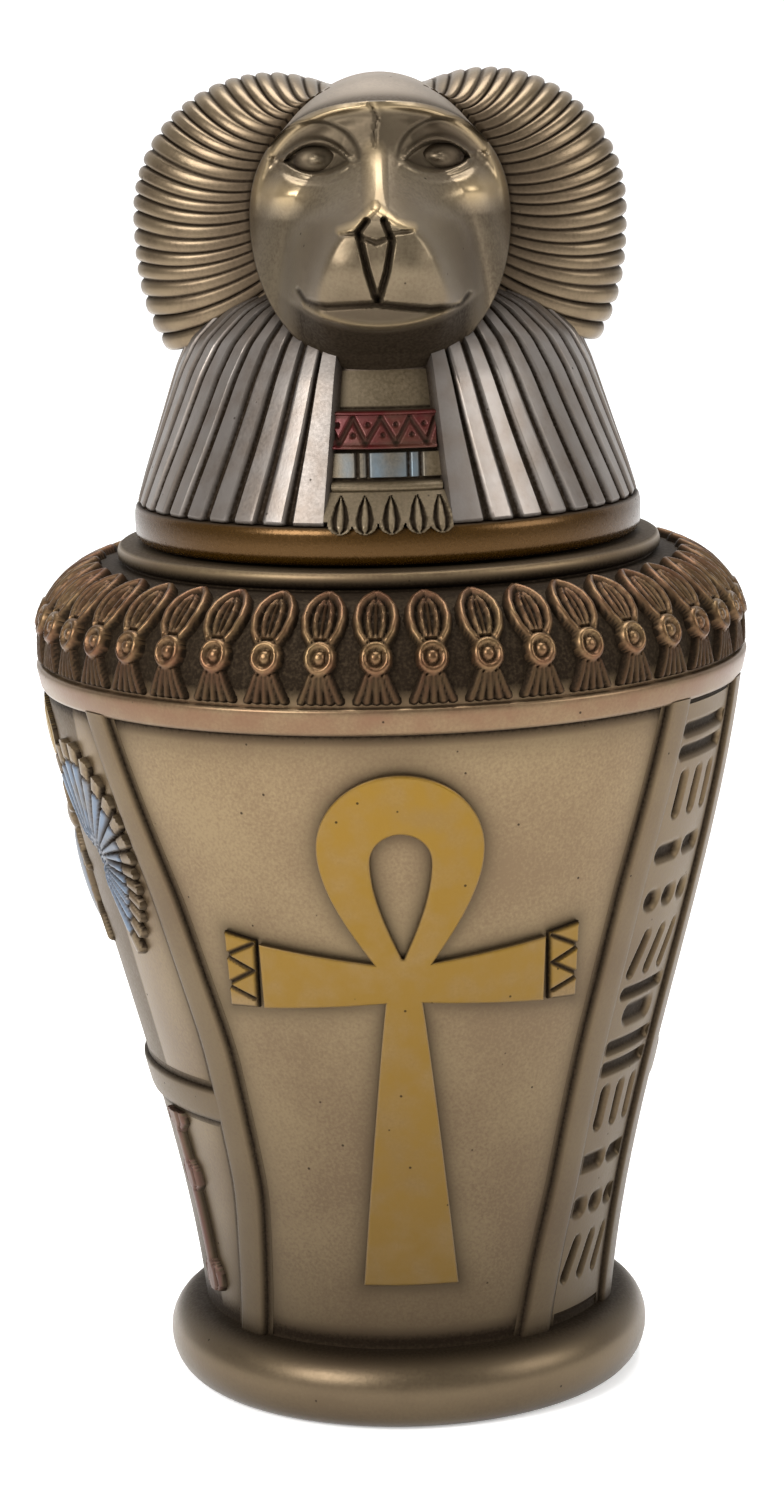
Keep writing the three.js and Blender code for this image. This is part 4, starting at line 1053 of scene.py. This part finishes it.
def face_relief(x, z):
    """Depth of the mask in front of the plane y = 0, its wash and painted shade, and where it is rubbed
    bright and given painted highlights.
    """
    angle = np.arctan2(z - FACE_Z, x)
    reach = np.clip(np.hypot(x, z - FACE_Z) / face_reach(angle), 0, 1)
    edge = crest_depth(angle)
    plain = edge + (17.2 - edge) * (1 - reach**4)
    side = np.abs(x)
    dark_wash_and_shade = np.zeros(x.shape)
    # A bead runs along the brow, with a shallow hollow inside it.
    brow = np.clip(3 * np.sin(angle), 0, 1)
    bead = 0.65 * np.exp(-(((reach - BEAD) / 0.03) ** 2))
    plain += brow * (bead - 0.35 * np.exp(-(((reach - 0.87) / 0.05) ** 2)))
    # Inside the bead the forehead is darker: wash in its shallow hollow, with painted shade.
    inside_bead = np.clip((0.93 - reach) / 0.05, 0, 1) * np.clip((z - 143) / 2, 0, 1)
    dark_wash_and_shade = np.maximum(dark_wash_and_shade, 0.52 * brow * inside_bead)
    # The sockets are cut crisply under the arch of each brow.
    arch = np.hypot((side - 7.2) / 5.2, (z - 143.6) / np.where(z > 143.6, 4.1, 2.9))
    socket = np.clip((1.05 - arch) / np.where(z > 143.6, 0.14, 0.4), 0, 1)
    plain -= 1.15 * socket * socket * (3 - 2 * socket)
    dark_wash_and_shade = np.maximum(dark_wash_and_shade, 0.6 * np.exp(-(((arch - 0.97) / 0.06) ** 2)) * (z > 143.2))
    plain += swell(side, z, (11.0, 139.7), (2.8, 1.5), 1.3)

    half, base = eased(FRONT_HALF, z), eased(BASE_HALF, z)
    across = np.clip((side - half) / np.maximum(base - half, 0.5), 0, 1)
    rounded = 0.5 * (1 + np.cos(np.pi * across))
    roof = np.clip((z - 136.5) / 3, 0, 1)
    fall = rounded + (1 - across - rounded) * 0.8 * roof
    front_face = eased(RIDGE, z) - 0.035 * side**2
    depth = plain + np.clip(front_face - plain, 0, None) * fall
    front = np.clip((depth - 22) / 3, 0, 1)
    for middle in (-4.2, 3.6):
        depth += front * swell(x, z, (middle, 131.8), (2.9, 2.5), 0.85)

    # The nostrils and their wings, the mouth, and a crease up the brow.
    mouth = [
        (-9.1, 129.5), (-8.4, 128.6), (-6.0, 128.1), (-0.6, 128.4), (5.0, 127.6), (8.6, 127.7), (9.5, 128.6),
    ]
    slits = (
        ([(-1.5, 137.3), (-2.4, 136.2), (-2.2, 135.2), (-1.5, 132.0), (-0.65, 128.9)], 0.45, 1.0),
        ([(0.4, 137.3), (0.8, 136.2), (1.2, 135.2), (0.6, 132.0), (-0.35, 128.9)], 0.45, 1.0),
        ([(-2.2, 135.7), (-0.55, 135.0), (1.2, 135.6)], 0.35, 0.5),
        ([(-2.4, 136.0), (-4.3, 136.0)], 0.3, 0.35),
        ([(1.0, 135.9), (3.4, 136.2)], 0.3, 0.35),
        (mouth, 0.42, 0.7),
        ([(-0.7, 149.4), (0.0, 148.0), (-0.3, 146.6), (-0.4, 144.8)], 0.27, 0.33),
    )
    for line, width, deep in slits:
        cut = groove(gap_to_line(x, z, line), width)
        depth -= deep * cut
        dark_wash_and_shade = np.maximum(dark_wash_and_shade, cut * min(1, deep / 0.6))
    ridges = (
        ([(-0.5, 144.4), (-0.5, 138.8)], 1.5, 0.22),
        ([(-0.5, 138.8), (-2.6, 137.0), (-4.4, 136.3)], 0.6, 0.35),
        ([(-0.5, 138.8), (1.8, 137.1), (3.6, 136.5)], 0.6, 0.35),
    )
    for line, width, high in ridges:
        depth += high * groove(gap_to_line(x, z, line), width)
    in_pad = np.clip((138.3 - z) / 0.6, 0, 1) * np.clip((z - 135.4) / 0.6, 0, 1)
    in_pad *= np.clip((138.4 - z) * 1.15 - np.abs(x + 0.5), 0, 0.5) * 2
    dark_wash_and_shade = np.maximum(dark_wash_and_shade, 0.4 * in_pad)

    # Almond eyes between raised lids.
    across_eye = side - np.where(x < 0, 6.9, 6.5)
    open_half = np.where(z > EYE_Z, 1.8, 1.3) * np.clip(1 - (across_eye / 3.6) ** 2, 0, 1)
    past_lid = np.abs(z - EYE_Z) - open_half
    corner = np.clip(1 - (np.abs(across_eye) - 3.4) / 1.0, 0, 1)
    lid_top = np.where(z > EYE_Z, 0.8, 0.45)
    depth += lid_top * np.exp(-(((past_lid - 0.4) / 0.33) ** 2)) * corner
    eye_hole = np.clip(-past_lid / 0.3 + 0.3, 0, 1) * (np.abs(across_eye) < 3.6)
    depth -= 1.0 * eye_hole
    dark_wash_and_shade = np.maximum(dark_wash_and_shade, 0.5 * eye_hole)

    # The lower lip is a crescent with a fine edge, and the chin falls away under it in painted shadow.
    lip_edge = 125.7 + 2.3 * (x / 9) ** 2
    under = np.clip((lip_edge - z) / 0.6, 0, 1) * np.clip((10.5 - side) / 1.5, 0, 1)
    depth -= 1.0 * under * np.clip((z - 119.5) / 3, 0, 1)
    depth += 0.35 * np.exp(-(((z - lip_edge - 0.25) / 0.3) ** 2)) * (side < 8.8)
    on_lip = np.clip((128.4 - z) / 0.6, 0, 1) * (z > lip_edge) * (side < 9.2)
    dark_wash_and_shade = np.maximum(dark_wash_and_shade, 0.5 * on_lip)
    dark_wash_and_shade = np.maximum(dark_wash_and_shade, 0.2 * front)
    shadow = np.clip((lip_edge + 0.1 - z) / 0.9, 0, 1) * np.clip((12.5 - side) / 3.5, 0, 1)
    dark_wash_and_shade = np.maximum(dark_wash_and_shade, 0.92 * shadow)
    # Painted shade in the valley between the muzzle and each cheek.
    dark_wash_and_shade = np.maximum(dark_wash_and_shade, 0.3 * np.exp(-(((side - 10.4) / 1.0) ** 2)) * np.clip((138 - z) / 4, 0, 1))
    # Wear rubbed bright on the high spots, with painted highlights on the cheekbones, the brow's bead, the
    # nose's ridges, the lip's edge and the muzzle's front.
    rub_and_highlight = swell(side, z, (11.2, 139.8), (2.6, 1.4), 0.9) + 0.08 * front * (z > 128.4)
    rub_and_highlight += 0.55 * brow * np.exp(-(((reach - BEAD) / 0.035) ** 2))
    for line, width, high in ridges:
        rub_and_highlight += high * 1.9 * groove(gap_to_line(x, z, line), width)
    rub_and_highlight += 0.6 * np.exp(-(((z - lip_edge - 0.25) / 0.3) ** 2)) * (side < 8.8)
    return depth, dark_wash_and_shade, rub_and_highlight


RINGS = 150
SECTORS = 300
bpy.ops.object.select_all(action="DESELECT")
bpy.ops.mesh.primitive_uv_sphere_add(segments=SECTORS, ring_count=RINGS, radius=MM)
head = bpy.context.object
head.name = head.data.name = "head"
co = points_of(head)
from_pole = np.arccos(np.clip(co[:, 2] / np.linalg.norm(co, axis=1), -1, 1)) / math.pi
angle = np.arctan2(co[:, 1], co[:, 0])
MASK_SHARE = 0.74
part = np.clip(from_pole / MASK_SHARE, 0, 1)
x = part * face_reach(angle) * np.cos(angle)
z = FACE_Z + part * face_reach(angle) * np.sin(angle)
depth, dark_wash_and_shade, rub_and_highlight = face_relief(x, z)
behind = np.clip((from_pole - MASK_SHARE) / (1 - MASK_SHARE), 0, 1)
# The skull runs back from the mask in five rings, to a pole behind.
stops = np.array([0, 0.18, 0.4, 0.62, 0.84, 1.0])
up = np.sin(angle)
crown_radii = np.array([FACE_RADIUS, 15.3, 15.8, 15.2, 12.4, 0.0])
nape_radii = np.array([FACE_RADIUS, 13.0, 12.0, 11.0, 9.0, 0.0])
aside_radii = np.array([FACE_RADIUS, 13.6, 13.0, 12.0, 9.0, 0.0])
height_radii = np.where(up[:, None] > 0, crown_radii, nape_radii)


def along_skull(values):
    """Reads per-vertex stations at the share behind the mask, rounding the corners."""
    result = np.empty(len(behind))
    for index in np.flatnonzero(behind > 0):
        result[index] = np.interp(behind[index], stops, values[index])
    return result


back = behind > 0
edge_x = face_reach(angle) * np.cos(angle)
edge_z = face_reach(angle) * np.sin(angle)
edge_y = -crest_depth(angle)
x_rows = np.column_stack([edge_x, *[aside_radii[i] * np.cos(angle) for i in range(1, 6)]])
z_rows = np.column_stack([edge_z, *[height_radii[:, i] * up for i in range(1, 6)]])
y_rows = np.column_stack([edge_y, *[np.full(len(angle), v) for v in (-8.0, 0.0, 9.0, 16.0, 17.5)]])
x = np.where(back, along_skull(x_rows), x)
y = np.where(back, along_skull(y_rows), -depth)
z = np.where(back, along_skull(z_rows) + FACE_Z, z)
move_points(head, np.stack([x, y, z], axis=-1))
paint_on(head, "wash_and_painted_shade", np.where(back, 0.7 * np.exp(-((behind / 0.06) ** 2)) + 0.08, dark_wash_and_shade))
# The silver on the crown is partly painted light: the crown is lighter where it faces the lamp above.
paint_on(head, "silver", np.where(back & (up > 0.2), 1.0, 0.0))
paint_on(head, "rub_and_highlight", np.where(back, 0.0, rub_and_highlight))
# Rounds the skull's stations, and leaves the mask as carved.
skull = head.vertex_groups.new(name="skull")
skull.add([int(i) for i in np.flatnonzero(from_pole > MASK_SHARE + 0.01)], 1.0, "REPLACE")
smoother = head.modifiers.new("round the skull", "SMOOTH")
smoother.factor = 0.5
smoother.iterations = 30
smoother.vertex_group = "skull"
select_only(head)
bpy.ops.object.modifier_apply(modifier=smoother.name)
finish_piece(head, 60)
face_bronze = cast_bronze(
    "cold_cast_bronze_waxed_face", "#6D614E", "#5C4F3F", gloss=0.33,
    paints=[("silver", "#877C6E", 0.2), ("rub_and_highlight", "#A08B68", 0.1)],
)
head.data.materials.append(face_bronze)
# Silver wax, dull and even, over the cap of the skull, painted lighter than the face as well for the light
# that falls on it from above.
cap_bronze_with_painted_light = cast_bronze("cold_cast_bronze_silvered_cap_painted_light", "#857A6D", "#6E6458", metal=0.6, gloss=0.5)
head.data.materials.append(cap_bronze_with_painted_light)
for polygon in head.data.polygons:
    crown = polygon.center.z > (FACE_Z + 2) * MM and polygon.center.y > -16.2 * MM
    on_cap = [bool(back[corner]) for corner in polygon.vertices]
    polygon.material_index = int(crown and all(on_cap))
fit(head, BUILT_IN_LID)

# The eyeballs lie deep between the lids, each with a low round iris.
for side, mirror in (("left", -1), ("right", 1)):
    bpy.ops.object.select_all(action="DESELECT")
    bpy.ops.mesh.primitive_uv_sphere_add(segments=48, ring_count=32, radius=MM)
    eye = bpy.context.object
    eye.name = eye.data.name = f"eye_{side}"
    co = points_of(eye)
    iris = np.hypot(co[:, 0] + 0.05, co[:, 2] - 0.12)
    bulge = np.where(co[:, 1] < 0, np.interp(iris, [0, 0.2, 0.3], [0.13, 0.1, 0]), 0)
    x = mirror * 6.7 + co[:, 0] * 2.75
    y = -13.4 + co[:, 1] * (1.7 + bulge * 2.2)
    z = EYE_Z + co[:, 2] * 1.75
    move_points(eye, np.stack([x, y, z], axis=-1))
    paint_on(eye, "wash_and_painted_shade", np.interp(iris, [0.28, 0.34, 0.5, 0.9], [0.2, 0.6, 0.4, 0.95]))
    finish_piece(eye, 60)
    eye.data.materials.append(face_bronze)
    fit(eye, BUILT_IN_LID)

# ---- The studio ----
# A white paper table and backdrop in even white light, three soft boxes at the left, the
# right and above, and the camera that looks a little down on the jar.

bpy.ops.object.select_all(action="DESELECT")
bpy.ops.mesh.primitive_plane_add(size=12)
table = bpy.context.object
table.name = "table"
white = bpy.data.materials.new("white_studio_paper")
white.use_nodes = True
paper = white.node_tree.nodes["Principled BSDF"].inputs
paper["Base Color"].default_value = srgb("#FBFBFB")
paper["Roughness"].default_value = 0.9
paper["Emission Color"].default_value = (1, 1, 1, 1)
paper["Emission Strength"].default_value = 0.38
bpy.ops.mesh.primitive_plane_add(size=9, location=(0, 2.4, 0), rotation=(math.radians(90), 0, 0))
backdrop = bpy.context.object
backdrop.name = "backdrop"
for sheet in (table, backdrop):
    sheet.data.materials.append(white)

world = bpy.context.scene.world or bpy.data.worlds.new("studio")
bpy.context.scene.world = world
world.use_nodes = True
air = world.node_tree.nodes["Background"].inputs
air["Color"].default_value = (1, 1, 1, 1)
air["Strength"].default_value = 0.42


def softbox(name, place, aim, size, power):
    """A square soft light at a place, turned towards a point."""
    bpy.ops.object.light_add(type="AREA", location=place)
    lamp = bpy.context.object
    lamp.name = name
    lamp.data.size = size
    lamp.data.energy = power
    lamp.rotation_euler = (Vector(place) - Vector(aim)).to_track_quat("Z", "Y").to_euler()


softbox("left_box", (-0.49, -0.52, 0.5), (0, 0, 0.09), 0.36, 7)
softbox("right_box", (0.6, -0.25, 0.4), (0, 0, 0.09), 0.35, 2.3)
softbox("top_box", (0, 0.1, 0.8), (0, 0, 0.1), 0.5, 7)

DOWN, ROLL, YAW = 10.874, -1.501, 0.031
camera_turn = (
    Matrix.Rotation(math.radians(YAW), 3, "Z")
    @ Matrix.Rotation(math.radians(90 - DOWN), 3, "X")
    @ Matrix.Rotation(math.radians(ROLL), 3, "Z")
)
bpy.ops.object.camera_add(location=(0, -0.440, 0.1586), rotation=camera_turn.to_euler())
camera = bpy.context.object
camera.name = "camera"
camera.data.lens = 91.42
camera.data.sensor_width = 36
camera.data.clip_start = 0.01
bpy.context.scene.camera = camera
bpy.context.scene.view_settings.view_transform = "Standard"
